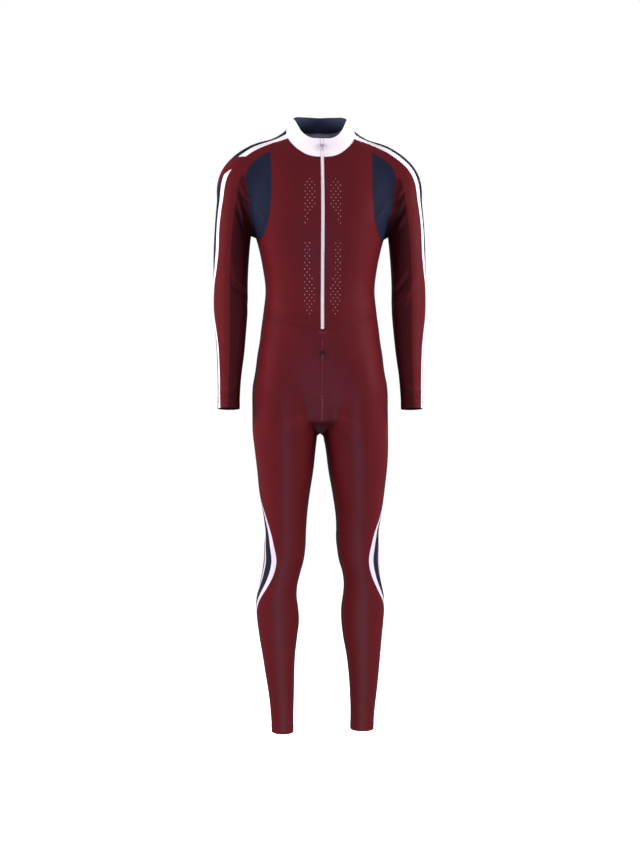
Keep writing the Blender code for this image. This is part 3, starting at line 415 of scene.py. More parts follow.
# Zip sliders and their pull tabs, in the slider's own directions.
SLIDER_WIDTH = 7.6
SLIDER_LENGTH = 11.0
SLIDER_THICK = 2.4
SLIDER_LIFT = 0.35    # clear space under a slider
SLIDER_CORNER = 2.6
SLIDER_EDGE = 0.7
ARCH_WIDTH = 2.2
ARCH_SPAN = 7.8       # over both feet
ARCH_BAR = 1.0
ARCH_CLEAR = 2.2      # room under the arch
ARCH_CORNER = 0.42
ARCH_FOOT = -0.6      # the arch's feet reach into the body
TAB_WIDTH = 5.0
TAB_LENGTH = 14.0
TAB_THICK = 1.2
TAB_CORNER = 1.2
TAB_EDGE = 0.4
TAB_BAR = 1.3         # the tab's top bar, which turns under the arch
TAB_SLOT_WIDTH = 3.4
TAB_SLOT_CORNER = 0.5
TAB_SLOT_END = 4.8    # far end of the slot, from the bar's middle
TAB_CLEAR = 0.4       # between the slider's face and the tab
ZIP_SLIDER_HEIGHT = -42
FLY_SLIDER_HEIGHT = -548


# --- Helpers for rows of points ---


def unit(rows):
    """Each row divided by its length."""
    return rows / np.maximum(np.linalg.norm(rows, axis=1), 1e-9)[:, None]


def run_along(line):
    """Distance run along a line at each of its points."""
    return np.concatenate([[0], np.cumsum(np.linalg.norm(np.diff(line, axis=0), axis=1))])


def between_rows(at, key, rows):
    """Rows of points at given values of a rising key, straight from one row to the next."""
    return np.column_stack([np.interp(at, key, rows[:, k]) for k in range(3)])


def to_left(points):
    """The points with those of the right half mirrored to the left."""
    return np.column_stack([np.abs(points[:, 0]), points[:, 1:]])


def forward(direction):
    """The direction square to a limb's own that points most to the front."""
    return unit(np.array([0.0, -1.0, 0.0]) + direction * direction[:, 1:2])


# --- The body form ---


def smooth_table(rows, at):
    """The other columns of a table at given values of the first, on a smooth curve through the rows."""
    table = np.array(sorted(rows), dtype=float)
    key, columns = table[:, 0], table[:, 1:]
    slope = np.gradient(columns, key, axis=0)
    at = np.clip(np.asarray(at, dtype=float), key[0], key[-1])
    low = np.clip(np.searchsorted(key, at, side="right") - 1, 0, len(key) - 2)
    step = (key[low + 1] - key[low])[..., None]
    t = (at - key[low])[..., None] / step
    start, end = columns[low], columns[low + 1]
    return (
        start * (1 + 2 * t) * (1 - t) ** 2
        + end * t**2 * (3 - 2 * t)
        + step * t * (1 - t) * (slope[low] * (1 - t) - slope[low + 1] * t)
    )


def blend(a, b, fillet):
    """The lower of two distances, rounded where they meet."""
    share = np.clip(0.5 + 0.5 * (b - a) / fillet, 0, 1)
    return b + (a - b) * share - fillet * share * (1 - share)


def section_distance(across, along, half_across, half_along, power):
    """Distance from a rounded section, measured along the line from its middle."""
    across = across + TINY
    scaled = (np.abs(across / half_across) ** power + np.abs(along / half_along) ** power) ** (1 / power)
    return np.hypot(across, along) * (1 - 1 / np.maximum(scaled, 1e-6))


def trunk_distance(points, rows, power):
    """Distance from the torso or the neck, by its table of sections."""
    half, front, back = smooth_table(rows, points[:, 2]).T
    depth = np.where(points[:, 1] < 0, -front, back)
    return section_distance(points[:, 0], points[:, 1], half, depth, power)


def leg_section(side, height):
    """Middle x and y and half widths of a leg at given heights; side is +1 for the left leg."""
    out_r, in_r, out_l, in_l, front, back = smooth_table(LEG, height).T
    outer, inner = (out_l, in_l) if side > 0 else (out_r, in_r)
    fall = np.clip((np.asarray(height) - LEFT_LEG_FROM) / (HEM_HEIGHT - LEFT_LEG_FROM), 0, 1.1)
    set_back = LEFT_LEG_BACK * fall if side > 0 else 0 * fall
    return side * (outer + inner) / 2, (front + back) / 2 + set_back, (outer - inner) / 2, (back - front) / 2


def leg_distance(points, side):
    """Distance from one leg."""
    x, y, half, depth = leg_section(side, points[:, 2])
    return section_distance(points[:, 0] - x, points[:, 1] - y, half, depth, LEG_SQUARENESS)


def arm_line(count=150):
    """The arm's middle line at even steps: reach, point, direction, outward, forward, four half widths."""
    rows = np.array(ARM, dtype=float)
    reach = run_along(rows[:, :3])
    along = np.linspace(0, reach[-1], count)
    smooth = smooth_table(np.column_stack([reach, rows]).tolist(), along)
    point, widths = smooth[:, :3], smooth[:, 3:]
    direction = unit(np.gradient(point, along, axis=0))
    front = forward(direction)
    return along, point, direction, np.cross(front, direction), front, widths


ARM_LINE = arm_line()


def arm_distance(points):
    """Distance from the left arm; the right arm is its mirror image."""
    along, line, direction, _, _, widths = ARM_LINE
    point = to_left(points)
    far = (point**2).sum(1)[:, None] + (line**2).sum(1)[None] - 2 * point @ line.T
    near = far.argmin(1)
    reach = np.clip(along[near] + ((point - line[near]) * direction[near]).sum(1), 0, along[-1])
    columns = np.column_stack([line, direction, widths])
    step = along[1]
    low = np.clip((reach / step).astype(int), 0, len(along) - 2)
    share = (reach / step - low)[:, None]
    here = columns[low] * (1 - share) + columns[low + 1] * share
    away = point - here[:, :3]
    heading = here[:, 3:6]
    front = forward(heading)
    outward = np.cross(front, heading)
    u, v, w = (away * outward).sum(1) + TINY, (away * front).sum(1), (away * heading).sum(1)
    half_u = np.where(u > 0, here[:, 6], here[:, 7])
    half_v = np.where(v > 0, here[:, 8], here[:, 9])
    scaled = np.sqrt((u / half_u) ** 2 + (v / half_v) ** 2 + (w / ARM_END) ** 2)
    return np.sqrt(u * u + v * v + w * w) * (1 - 1 / np.maximum(scaled, 1e-6))


def fold_height(points):
    """Height of the folds at each point: a bell across each fold's line that dies out along it."""
    mirrored = to_left(points)
    total = np.zeros(len(points))
    for x0, y0, z0, x1, y1, z1, width, height in FOLDS:
        start, run = np.array([x0, y0, z0]), np.array([x1 - x0, y1 - y0, z1 - z0])
        share = ((mirrored - start) @ run) / (run @ run)
        away = np.linalg.norm(mirrored - start - np.clip(share, 0, 1)[:, None] * run, axis=1)
        taper = np.clip(1.1 - (2 * share - 1) ** 2, 0, 1)
        total += height * taper * np.exp(-((away / width) ** 2))
    return total


def form(points):
    """Distance of each point from the filled-out suit's outside: less than zero inside.

    The trunk, the arm and the legs are blended one after the other, and the folds are added to the whole.
    """
    height = points[:, 2]
    torso = trunk_distance(points, TORSO, TORSO_SQUARENESS)
    neck = trunk_distance(points, NECK, NECK_SQUARENESS)
    trunk = blend(torso, neck, NECK_FILLET)
    above = np.clip((height - ARMPIT_HEIGHT) / ARMPIT_RISE, 0, 1)
    joint = ARMPIT_FILLET + (SHOULDER_FILLET - ARMPIT_FILLET) * above
    trunk = blend(trunk, arm_distance(points), joint)
    legs = blend(leg_distance(points, 1), leg_distance(points, -1), CROTCH_FILLET)
    below = np.maximum(height - LEG[0][0], 0)
    end = TORSO[-1][0]
    fork = np.clip((end - height) / FORK_RISE + 1, 0, 1)
    hip = HIP_FILLET + (CROTCH_FILLET - HIP_FILLET) * fork
    trunk = blend(trunk + np.maximum(end + TRUNK_END - height, 0) ** 2 / TRUNK_SOFT, legs + below, hip)
    return trunk - fold_height(points)


def slope(points):
    """Gradient of the form, from four samples round each point."""
    corners = np.array([[1, -1, -1], [-1, -1, 1], [-1, 1, -1], [1, 1, 1]], dtype=float)
    reach = 0.5
    return sum(c * form(points + reach * c)[:, None] for c in corners) / (4 * reach)


def settle(points, rounds=7):
    """Moves points onto the form, each along its own slope."""
    points = np.array(points, dtype=float)
    for _ in range(rounds):
        uphill = slope(points)
        step = form(points) / np.maximum((uphill**2).sum(1), 1e-6)
        points -= np.clip(step, -LONGEST_STEP, LONGEST_STEP)[:, None] * uphill
    return points


def outward_normal(points):
    """Unit direction straight out of the form."""
    return unit(slope(points))


def cast(origins, directions, reach=260):
    """Where rays that start inside the form first leave it."""
    origins = np.atleast_2d(np.array(origins, dtype=float))
    directions = np.broadcast_to(np.array(directions, dtype=float), origins.shape)
    steps = np.linspace(0, reach, RAY_STEPS)
    inside = np.array([form(origins + s * directions) < 0 for s in steps])
    first = np.argmin(inside, axis=0)
    low, high = steps[np.maximum(first - 1, 0)], steps[first]
    for _ in range(HALVINGS):
        middle = (low + high) / 2
        within = form(origins + middle[:, None] * directions) < 0
        low, high = np.where(within, middle, low), np.where(within, high, middle)
    return origins + low[:, None] * directions


# --- Ways to lay a seam ---


def flip(points, side):
    """Points of the left half, mirrored when side is -1."""
    return points * np.array([side, 1, 1])


def round_torso(angles, heights, start_y=0.0):
    """Points at angles round the torso, from the front towards the left, at given heights."""
    turn = np.radians(angles)
    origins = np.column_stack([0 * turn, 0 * turn + start_y, heights + 0 * turn])
    return cast(origins, np.column_stack([np.sin(turn), -np.cos(turn), 0 * turn]))


def round_arm(angles, reaches):
    """Points at angles round the left arm, from its outer side towards the front."""
    along, line, _, outward, front, _ = ARM_LINE
    turn = np.radians(angles)[:, None]
    middle, out, fore = (between_rows(reaches, along, rows) for rows in (line, outward, front))
    return cast(middle, out * np.cos(turn) + fore * np.sin(turn), reach=110)


def round_leg(side, angles, heights):
    """Points at angles round a leg, from its outer side towards the front."""
    turn = np.radians(angles)
    x, y, _, _ = leg_section(side, heights)
    origins = np.column_stack([x, y, heights])
    return cast(origins, np.column_stack([side * np.cos(turn), -np.sin(turn), 0 * turn]), reach=180)


def on_view(x, heights, facing=-1):
    """Points at x and given heights, laid on the front (facing -1) or the back (+1) of the form."""
    return cast(np.column_stack([x + 0 * heights, 0 * heights, heights]), [0, facing, 0])


def from_view(rows, facing):
    """The same for a table of x and z."""
    x, heights = np.array(rows, dtype=float).T
    return on_view(x, heights, facing)


def even_line(points, steps):
    """A smooth line through points on the form, cut into equal steps and settled on it."""
    points = np.array(points, dtype=float)
    reach = run_along(points)
    rows = np.column_stack([reach, points]).tolist()
    fine = smooth_table(rows, np.linspace(0, reach[-1], SMOOTH_STEPS))
    length = run_along(fine)
    line = between_rows(np.linspace(0, length[-1], steps + 1), length, fine)
    line[1:-1] = settle(line[1:-1])
    line[0], line[-1] = points[0], points[-1]
    return line


def chain(*lines):
    """Lines joined end to end."""
    return np.vstack([lines[0]] + [line[1:] for line in lines[1:]])


def seam_chain(seams, *names):
    """Named seams joined end to end."""
    return chain(*(seams[name] for name in names))


def both_halves(line):
    """A line of the left half that ends in the middle, and on along its mirror image."""
    return chain(line, flip(line, -1)[::-1])


def neckline_at(angles, column=0):
    """Points on the neckline seam (column 0) or on the collar's top edge (column 1)."""
    angles = np.asarray(angles, dtype=float)
    heights = smooth_table(NECKLINE, angles)[:, column]
    return round_torso(angles, heights, start_y=NECK_MIDDLE)


def waist_at(angles):
    """Points on the waist seam."""
    angles = np.asarray(angles, dtype=float)
    return round_torso(angles, smooth_table(WAIST, angles)[:, 0])


def edge_at_x(place, x, low=0.0, high=25.0):
    """Angle at which a line that starts in front has gone x to the left."""
    for _ in range(24):
        middle = (low + high) / 2
        if place([middle])[0, 0] < x:
            low = middle
        else:
            high = middle
    return (low + high) / 2


def neck_angles():
    """Angles of the neckline's stations on the left half, from the zip to the middle of the back."""
    marks = (edge_at_x(neckline_at, ZIP_HALF), STRIPE_AT_NECK, STRIPE_END_AT_NECK, SLEEVE_BACK_AT_NECK, 180)
    parts = [np.linspace(*part)[1:] for part in zip(marks, marks[1:], np.add(NECK_COUNTS, 1))]
    return np.concatenate([marks[:1], *parts])


def crotch_line(facing, steps):
    """The centre seam under the body, from the belly (facing -1) or the seat (+1) to its lowest point."""
    turn = np.linspace(0, math.pi / 2, steps + 1)
    origins = np.zeros((steps + 1, 3)) + [0, CROTCH_MIDDLE, CROTCH_TURN]
    return cast(origins, np.column_stack([0 * turn, facing * np.cos(turn), -np.sin(turn)]))


def stripe_edges():
    """Both edges of the sleeve's stripe at its stations, from the neckline to the cuff."""
    near = np.linspace(SHOULDER_REACH, ARM_SEAM_REACH, ARMHOLE_UPPER + FINE + 1)
    far = np.linspace(ARM_SEAM_REACH, CUFF_REACH, SLEEVE_SEAM + 1)[1:]
    reaches = np.concatenate([near, far])
    angle, width = smooth_table(SLEEVE_STRIPE, reaches).T
    half = np.interp(reaches, ARM_LINE[0], ARM_LINE[5][:, 0] * 0.6 + ARM_LINE[5][:, 2] * 0.4)
    front = round_arm(angle, reaches)
    back = round_arm(angle - np.degrees(width / half), reaches)
    neck_front, neck_back = neckline_at([STRIPE_AT_NECK, STRIPE_END_AT_NECK])
    return even_line([neck_front, front[0]], 2 * FINE), front, even_line([neck_back, back[0]], 2 * FINE), back


# --- Cloth ---


def coons(top, bottom, left, right):
    """Grid between four edges: both straight blends added, the blend of the corners taken away."""
    v = np.linspace(0, 1, len(left))[:, None, None]
    u = np.linspace(0, 1, len(top))[None, :, None]
    upper = (1 - u) * top[0] + u * top[-1]
    lower = (1 - u) * bottom[0] + u * bottom[-1]
    across = (1 - u) * left[:, None] + u * right[:, None]
    return (1 - v) * (top[None] - upper) + v * (bottom[None] - lower) + across


def edged(grid, top, bottom, left, right):
    """A grid with its outer points put exactly on its four seams."""
    grid[0], grid[-1], grid[:, 0], grid[:, -1] = top, bottom, left, right
    return grid


def patch(top, bottom, left, right):
    """Grid of points between four seams, settled on the form."""
    rows, columns = len(left), len(top)
    grid = coons(top, bottom, left, right)
    inner = grid[1:-1, 1:-1].reshape(-1, 3)
    grid[1:-1, 1:-1] = settle(inner, 8).reshape(rows - 2, columns - 2, 3)
    return edged(grid, top, bottom, left, right)


def leg_patch(side, facing, top, bottom, left, right):
    """Grid between four seams of a leg's front (facing -1) or back (+1): even in angle and height."""
    rows, columns = len(left), len(top)

    def unrolled(line):
        """A line's angles round the leg and its heights."""
        x, y, _, _ = leg_section(side, line[:, 2])
        turn = np.degrees(np.arctan2(y - line[:, 1], side * (line[:, 0] - x)))
        turn = np.where(np.abs(turn) > 150, -facing * np.abs(turn), turn)
        return np.column_stack([turn, line[:, 2]])

    flat = [unrolled(line) for line in (top, bottom, left, right)]
    grid = coons(*flat).reshape(-1, 2)
    grid = round_leg(side, grid[:, 0], grid[:, 1]).reshape(rows, columns, 3)
    return edged(grid, top, bottom, left, right)


def pull_in(grid, amount):
    """Draws all four edges of a grid inwards, square to each edge; an edge drawn to a point goes straight."""
    moved = grid.copy()
    for axis, edge, inner in ((0, 0, 1), (0, -1, -2), (1, 0, 1), (1, -1, -2)):
        line, next_line = np.take(grid, edge, axis), np.take(grid, inner, axis)
        inward = next_line - line
        if np.ptp(line, axis=0).max() < 1e-6:
            middle = inward.mean(0)
            inward = np.broadcast_to(middle / np.linalg.norm(middle) * POINT_PULL, line.shape)
        else:
            along = unit(np.gradient(line, axis=0))
            inward = unit(inward - (inward * along).sum(1)[:, None] * along)
        if axis == 0:
            moved[edge] += amount * inward
        else:
            moved[:, edge] += amount * inward
    return moved


def side_name(base, side):
    """The name of a piece's left (+1) or right (-1) copy."""
    return base + ("_left" if side > 0 else "_right")


def point_line(point, columns):
    """An edge drawn to one point."""
    return np.repeat(point[None], columns + 1, axis=0)


def upper_seams():
    """Every seam of the left upper half, as lines of stations."""
    seams = {}
    neck = neckline_at(neck_angles())
    marks = np.cumsum([0, *NECK_COUNTS])
    names = ("neck_front", "neck_stripe", "neck_sleeve", "neck_back")
    for name, start, end in zip(names, marks, marks[1:]):
        seams[name] = neck[start : end + 1]
    lead_front, stripe_front, lead_back, stripe_back = stripe_edges()
    seams["stripe_lead"], seams["stripe_front"] = lead_front, stripe_front
    seams["stripe_fore"] = chain(lead_front, stripe_front)
    seams["stripe_back"] = chain(lead_back, stripe_back)

    shoulder = stripe_front[0]
    upper = from_view(ARMHOLE_FRONT_UPPER, -1)
    lower = from_view(ARMHOLE_FRONT_LOWER, -1)
    armpit = settle([ARMPIT])[0]
    tip = round_torso([SIDE_ANGLE], np.array([CHEST_TIP_HEIGHT]))[0]
    seams["shoulder_drop"] = even_line([shoulder, upper[0]], FINE)
    seams["armhole_upper"] = even_line(upper, ARMHOLE_UPPER)
    seams["armhole_lower"] = even_line(np.vstack([lower, armpit]), ARMHOLE_LOWER)
    seams["under_arm"] = even_line([armpit, tip], FINE)
    inner = from_view(CHEST_INNER, -1)
    inner[0] = upper[0]
    seams["chest_inner"] = even_line(np.vstack([inner, tip]), CHEST_SEAM)

    waist_side = waist_at([SIDE_ANGLE])[0]
    heights = np.linspace(tip[2], waist_side[2], SIDE_SEAM + 1)
    seams["side"] = round_torso(0 * heights + SIDE_ANGLE, heights)
    seams["side"][0], seams["side"][-1] = tip, waist_side

    reaches = np.linspace(ARM_SEAM_REACH, CUFF_REACH, SLEEVE_SEAM + 1)
    seams["sleeve_fore"] = round_arm(0 * reaches + SLEEVE_SEAM_ANGLE, reaches)
    seams["sleeve_fore"][0] = upper[-1]
    seams["sleeve_aft"] = round_arm(0 * reaches - SLEEVE_SEAM_ANGLE, reaches)
    raglan = from_view(RAGLAN_BACK_LINE, 1)
    seams["sleeve_aft"][0] = raglan[-1]
    seams["raglan_back"] = even_line(np.vstack([seams["neck_back"][0], raglan]), RAGLAN_BACK)
    lower_back = from_view(ARMHOLE_FRONT_LOWER[1:], 1)
    line = np.vstack([raglan[-1], lower_back, armpit])
    seams["armhole_back"] = even_line(line, ARMHOLE_LOWER)

    def cuff(start, end, steps):
        """The cuff's edge from one angle to another."""
        turn = np.linspace(start, end, steps + 1)
        return round_arm(turn, np.full(steps + 1, float(CUFF_REACH)))

    angle, width = smooth_table(SLEEVE_STRIPE, np.array([float(CUFF_REACH)]))[0]
    behind = angle - math.degrees(width / CUFF_RADIUS)
    seams["cuff_stripe"] = cuff(angle, behind, ACROSS_STRIPE)
    seams["cuff_front"] = cuff(angle, SLEEVE_SEAM_ANGLE, ACROSS_SLEEVE_FRONT)
    seams["cuff_back"] = cuff(behind, -SLEEVE_SEAM_ANGLE, ACROSS_SLEEVE_BACK)
    seams["cuff_under"] = cuff(SLEEVE_SEAM_ANGLE, 360 - SLEEVE_SEAM_ANGLE, 2 * ARMHOLE_LOWER)
    seams["cuff_stripe"][-1] = seams["cuff_back"][0] = seams["stripe_back"][-1]
    return seams


def zip_edge_line():
    """The zip's left edge, from the neckline to the waist."""
    neck_z = neckline_at([edge_at_x(neckline_at, ZIP_HALF)])[0, 2]
    waist_z = waist_at([ZIP_EDGE_ANGLE])[0, 2]
    return on_view(ZIP_HALF, np.linspace(neck_z, waist_z, ZIP_ROWS + 1))


def waist_stations():
    """Waist seam on the left half: from the centre front to the side, then on to the centre back."""
    front = waist_at(np.linspace(0, SIDE_ANGLE, ZIP_TO_SHOULDER + 1))
    wrap = math.degrees(LEG_STRIPE[0][2] / WAIST_RADIUS)
    behind = np.concatenate([
        np.linspace(SIDE_ANGLE, SIDE_ANGLE + wrap, ACROSS_STRIPE + 1),
        np.linspace(SIDE_ANGLE + wrap, 180, ACROSS_HALF_BACK - ACROSS_STRIPE + 1)[1:],
    ])
    return front, waist_at(behind)


# --- Cloth with its creases ---


def bent_line(start, bend, end, count=48):
    """Points along a curve that leaves start towards bend and reaches end."""
    t = np.linspace(0, 1, count)[:, None]
    start, bend, end = (np.array(p, dtype=float) for p in (start, bend, end))
    return (1 - t) ** 2 * start + 2 * t * (1 - t) * bend + t**2 * end


def crease_lines():
    """Curves of all the creases, brought onto the form, each with its half width and height."""
    found = []
    for sides, *numbers in CREASES:
        start, bend, end, width, height = numbers[0:3], numbers[3:6], numbers[6:9], numbers[9], numbers[10]
        for side in (1, -1) if sides == 0 else (sides,):
            found.append((settle(flip(bent_line(start, bend, end), side), 12), width, height))
    return found


CREASE_LINES = crease_lines()


def crease_height(points):
    """Height of the small creases: a bell across each crease's curve, dying out towards both ends.

    A ripple of long, low waves is added, so that no highlight runs dead straight.
    """
    total = np.zeros(len(points))
    for line, width, height in CREASE_LINES:
        reach = CREASE_REACH * width
        near = np.all((points > line.min(0) - reach) & (points < line.max(0) + reach), axis=1)
        if not near.any():
            continue
        away = np.linalg.norm(points[near][:, None] - line[None], axis=2)
        weight = np.exp(-((away / (0.8 * width)) ** 2)) + 1e-12
        share = (weight * np.linspace(0, 1, len(line))).sum(1) / weight.sum(1)
        taper = np.clip(1.08 - (2 * share - 1) ** 2, 0, 1) ** 0.8
        total[near] += height * taper * np.exp(-((away.min(1) / width) ** 2))
    x, y, z = points.T
    ripple = np.sin(x / 19 + z / 61 + 0.7) * np.sin(y / 23 - z / 47) + 0.6 * np.sin(z / 29 + x / 41 + y / 37)
    return total + RIPPLE * ripple


def lengths(grid, axis):
    """Distance run along a grid's lines, from their start."""
    step = np.linalg.norm(np.diff(grid, axis=axis), axis=2)
    zero = np.zeros_like(np.take(step, [0], axis))
    return np.concatenate([zero, np.cumsum(step, axis=axis)], axis=axis)


def hem_rise(grid, hem):
    """Extra height of a hem's folded-over cloth: a band of HEM_WIDTH above the grid's last row."""
    if not hem:
        return 0.0
    run = lengths(grid, 0)
    left = run[-1] - run
    band = 1 / (1 + np.exp(np.clip((left - HEM_WIDTH) / HEM_SOFT, -60, 60)))
    stitch = np.exp(-(((left - HEM_WIDTH + HEM_STITCH_IN) / HEM_STITCH_HALF) ** 2))
    return (HEM_STEP * band - HEM_STITCH_DEPTH * stitch)[..., None]


def cloth(name, grid, look, inside="maroon_reverse", wall=SHELL, sunk=0.0, hem=False,
          nodes=None):
    """A piece of cloth as a closed thin wall on a grid of points, with its creases, hem and two UV maps.

    "weave" runs in metres of cloth across and along; "stripe" is the share across and metres along. The
    attribute "fold" holds the creases' height in millimetres, for the shade painted into the troughs and
    the light painted onto the ridges.
    """
    shape = grid.shape
    flat = grid.reshape(-1, 3)
    normal = outward_normal(flat).reshape(shape)
    crease = crease_height(flat)
    rise = crease.reshape(shape[:2])[..., None] + hem_rise(grid, hem)
    outer = pull_in(grid, SEAM_GAP / 2) + (rise - sunk) * normal
    inner = outer - wall * normal
    across, along = lengths(grid, 1) * MM, lengths(grid, 0) * MM
    share = np.broadcast_to(np.linspace(0, 1, shape[1]), shape[:2])
    weave, stripe = np.stack([across, along], -1), np.stack([share, along], -1)
    piece = wall_mesh(name, outer, inner, weave, stripe, (LOOKS[look], LOOKS[inside]))
    fold = piece.data.attributes.new("fold", "FLOAT", "POINT")
    fold.data.foreach_set("value", np.tile(crease, 2).astype(np.float32))
    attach(piece, "suit")
    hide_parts(*(nodes or (name,)))


def wall_mesh(name, outer, inner, weave, stripe, looks):
    """One closed mesh from an outer and an inner grid, wound so that it faces outwards."""
    rows, columns = outer.shape[:2]
    count = rows * columns
    index = np.arange(count).reshape(rows, columns)
    quads = np.stack([index[:-1, :-1], index[1:, :-1], index[1:, 1:], index[:-1, 1:]], -1).reshape(-1, 4)
    rim = np.concatenate([index[0, :-1], index[:-1, -1], index[-1, :0:-1], index[:0:-1, 0]])
    sides = np.stack([rim, np.roll(rim, -1), np.roll(rim, -1) + count, rim + count], -1)
    faces = np.concatenate([quads, quads[:, ::-1] + count, sides])
    middle = outer.reshape(-1, 3)
    a, b, c = (middle[quads[len(quads) // 2][k]] for k in (0, 1, 2))
    if np.cross(b - a, c - a) @ outward_normal(a[None])[0] < 0:
        faces = faces[:, ::-1]
    points = np.concatenate([middle, inner.reshape(-1, 3)]) * MM
    which = np.concatenate([np.zeros(len(quads)), np.ones(len(quads)), np.zeros(len(sides))]).astype(np.int32)
    uv = {"weave": np.tile(weave.reshape(-1, 2), (2, 1)), "stripe": np.tile(stripe.reshape(-1, 2), (2, 1))}
    return mesh_object(name, points, faces, looks, which, uv)


def mesh_object(name, points, faces, looks, which=None, uv=None):
    """An object from points in metres and faces; uv maps are given by vertex."""
    mesh = bpy.data.meshes.new(name)
    faces = [tuple(face) for face in (faces.tolist() if hasattr(faces, "tolist") else faces)]
    mesh.from_pydata(np.asarray(points).tolist(), [], faces)
    for look in looks:
        mesh.materials.append(look)
    if which is not None:
        mesh.polygons.foreach_set("material_index", which)
    corners = np.zeros(len(mesh.loops), dtype=np.int32)
    mesh.loops.foreach_get("vertex_index", corners)
    for title, values in (uv or {}).items():
        layer = mesh.uv_layers.new(name=title)
        layer.data.foreach_set("uv", values[corners].astype(np.float32).ravel())
    mesh.shade_smooth()
    mesh.set_sharp_from_angle(angle=math.radians(40))
    mesh.update()
    piece = bpy.data.objects.new(name, mesh)
    bpy.context.scene.collection.objects.link(piece)
    return piece


def tube_faces(rings, around, joined=False):
    """Quads of a tube of rings, each of around points: joined end to end, or with a face over each end."""
    index = np.arange(rings * around).reshape(rings, around)
    if joined:
        index = np.vstack([index, index[:1]])
    after = np.roll(index, -1, axis=1)
    quads = np.stack([index[:-1], after[:-1], after[1:], index[1:]], -1).reshape(-1, 4).tolist()
    return quads if joined else quads + [index[0, ::-1].tolist(), index[-1].tolist()]


def counted_from(start, faces):
    """The same faces over points that are counted from start."""
    return [tuple(start + corner for corner in face) for face in faces]


def in_frames(shape, places, across, along, out):
    """Copies of a shape, its coordinates turned into the three directions at each place."""
    return (places[:, None] + shape[None, :, :1] * across[:, None] + shape[None, :, 1:2] * along[:, None]
            + shape[None, :, 2:] * out[:, None])


def solid(name, points, faces, look, body="suit", nodes=(), uv=None):
    """A piece of closed shells, from points in millimetres: made, turned outwards and handed to the frame."""
    piece = mesh_object(name, points.reshape(-1, 3) * MM, faces, (LOOKS[look],), uv=uv)
    turn_outwards(piece)
    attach(piece, body)
    if nodes:
        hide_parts(*nodes)


def scatter(name, shape, rings, joined, places, directions, look):
    """Copies of one small tube of so many rings, laid at places on the cloth as one piece."""
    points = in_frames(shape, places, *directions)
    one = tube_faces(rings, len(shape) // rings, joined)
    faces = [face for k in range(len(places)) for face in counted_from(len(shape) * k, one)]
    solid(name, points, faces, look)


def ribbon(name, lines, half, height, look):
    """Flat cords laid along lines on the cloth: the covering threads of seams, hems and top stitching.

    Each is a tube of THREAD_PROFILE of the given half width and height; its UV runs in metres across and
    along.
    """
    width, tall = THREAD_PROFILE.T * [[half], [height + THREAD_SUNK]]
    profile = np.column_stack([width, 0 * width, tall])
    points, faces, uv = [], [], []
    for line in lines:
        normal = outward_normal(line)
        tangent = unit(np.gradient(line, axis=0))
        base = line + (crease_height(line) - THREAD_SUNK)[:, None] * normal
        faces += counted_from(sum(len(p) for p in points), tube_faces(len(line), len(profile)))
        points.append(in_frames(profile, base, np.cross(normal, tangent), tangent, normal).reshape(-1, 3))
        across, run = np.broadcast_arrays(width * MM, run_along(line)[:, None] * MM)
        uv.append(np.stack([across, run], -1).reshape(-1, 2))
    solid(name, np.concatenate(points), faces, look, uv={"weave": np.concatenate(uv)})


def turn_outwards(piece):
    """Makes every closed shell of a piece face outwards."""
    soft = bmesh.new()
    soft.from_mesh(piece.data)
    bmesh.ops.recalc_face_normals(soft, faces=soft.faces)
    soft.to_mesh(piece.data)
    soft.free()


# --- Upper half ---


def make_upper():
    """The cut pieces of the upper half; the left ones are mirrored for the right."""
    seams = upper_seams()
    waist_front, waist_back = waist_stations()
    zip_edge = zip_edge_line()
    first = waist_front[0] + (waist_front[FINE] - waist_front[0]) * ZIP_HALF / waist_front[FINE, 0]
    zip_edge[-1] = first
    zip_edge[0] = seams["neck_front"][0]
    front_bottom = even_line(np.vstack([first, waist_front[2:]]), ZIP_TO_SHOULDER)
    front_outer = seam_chain(seams, "stripe_lead", "shoulder_drop", "chest_inner", "side")
    armhole = seam_chain(seams, "armhole_upper", "armhole_lower")
    for side in (1, -1):
        def lay(name, look, top, bottom, left, right, hem=False, nodes=()):
            """One piece between four seams of the left half, on this side."""
            grid = patch(*(flip(line, side) for line in (top, bottom, left, right)))
            nodes = [side_name(node, side) for node in nodes]
            cloth(side_name(name, side), grid, look, hem=hem, nodes=nodes)

        lay("front", "maroon", seams["neck_front"], front_bottom, zip_edge, front_outer)
        chest_top = point_line(armhole[0], ACROSS_CHEST)
        tip = point_line(seams["chest_inner"][-1], ACROSS_CHEST)
        lay("chest_panel", "navy", chest_top, tip, seams["chest_inner"],
            chain(armhole, seams["under_arm"]))
        sleeve_inner = seam_chain(seams, "shoulder_drop", "armhole_upper", "sleeve_fore")
        shoulder = point_line(seams["stripe_front"][0], ACROSS_SLEEVE_FRONT)
        lay("sleeve_front", "maroon", shoulder, seams["cuff_front"], seams["stripe_front"],
            sleeve_inner, hem=True)
        look = "sleeve_stripes" if side > 0 else "sleeve_stripes_patched"
        lay("sleeve_stripe", look, seams["neck_stripe"], seams["cuff_stripe"],
            seams["stripe_fore"], seams["stripe_back"], hem=True)
        lay("sleeve_back", "maroon", seams["neck_sleeve"], seams["cuff_back"],
            seams["stripe_back"], seam_chain(seams, "raglan_back", "sleeve_aft"), hem=True)
        # painted shade: the under sleeve gets the maroon jersey painted darker, where it faces the body
        lay("under_sleeve", "maroon_painted_shade",
            chain(seams["armhole_lower"], seams["armhole_back"][::-1]), seams["cuff_under"],
            seams["sleeve_fore"], seams["sleeve_aft"], hem=True,
            nodes=("under_sleeve_fore", "under_sleeve_aft"))

    back_edge = seam_chain(seams, "raglan_back", "armhole_back", "under_arm", "side")
    neck_back, waist = both_halves(seams["neck_back"]), both_halves(waist_back)
    cloth("back", patch(neck_back, waist, back_edge, flip(back_edge, -1)), "maroon")
    return seams, zip_edge


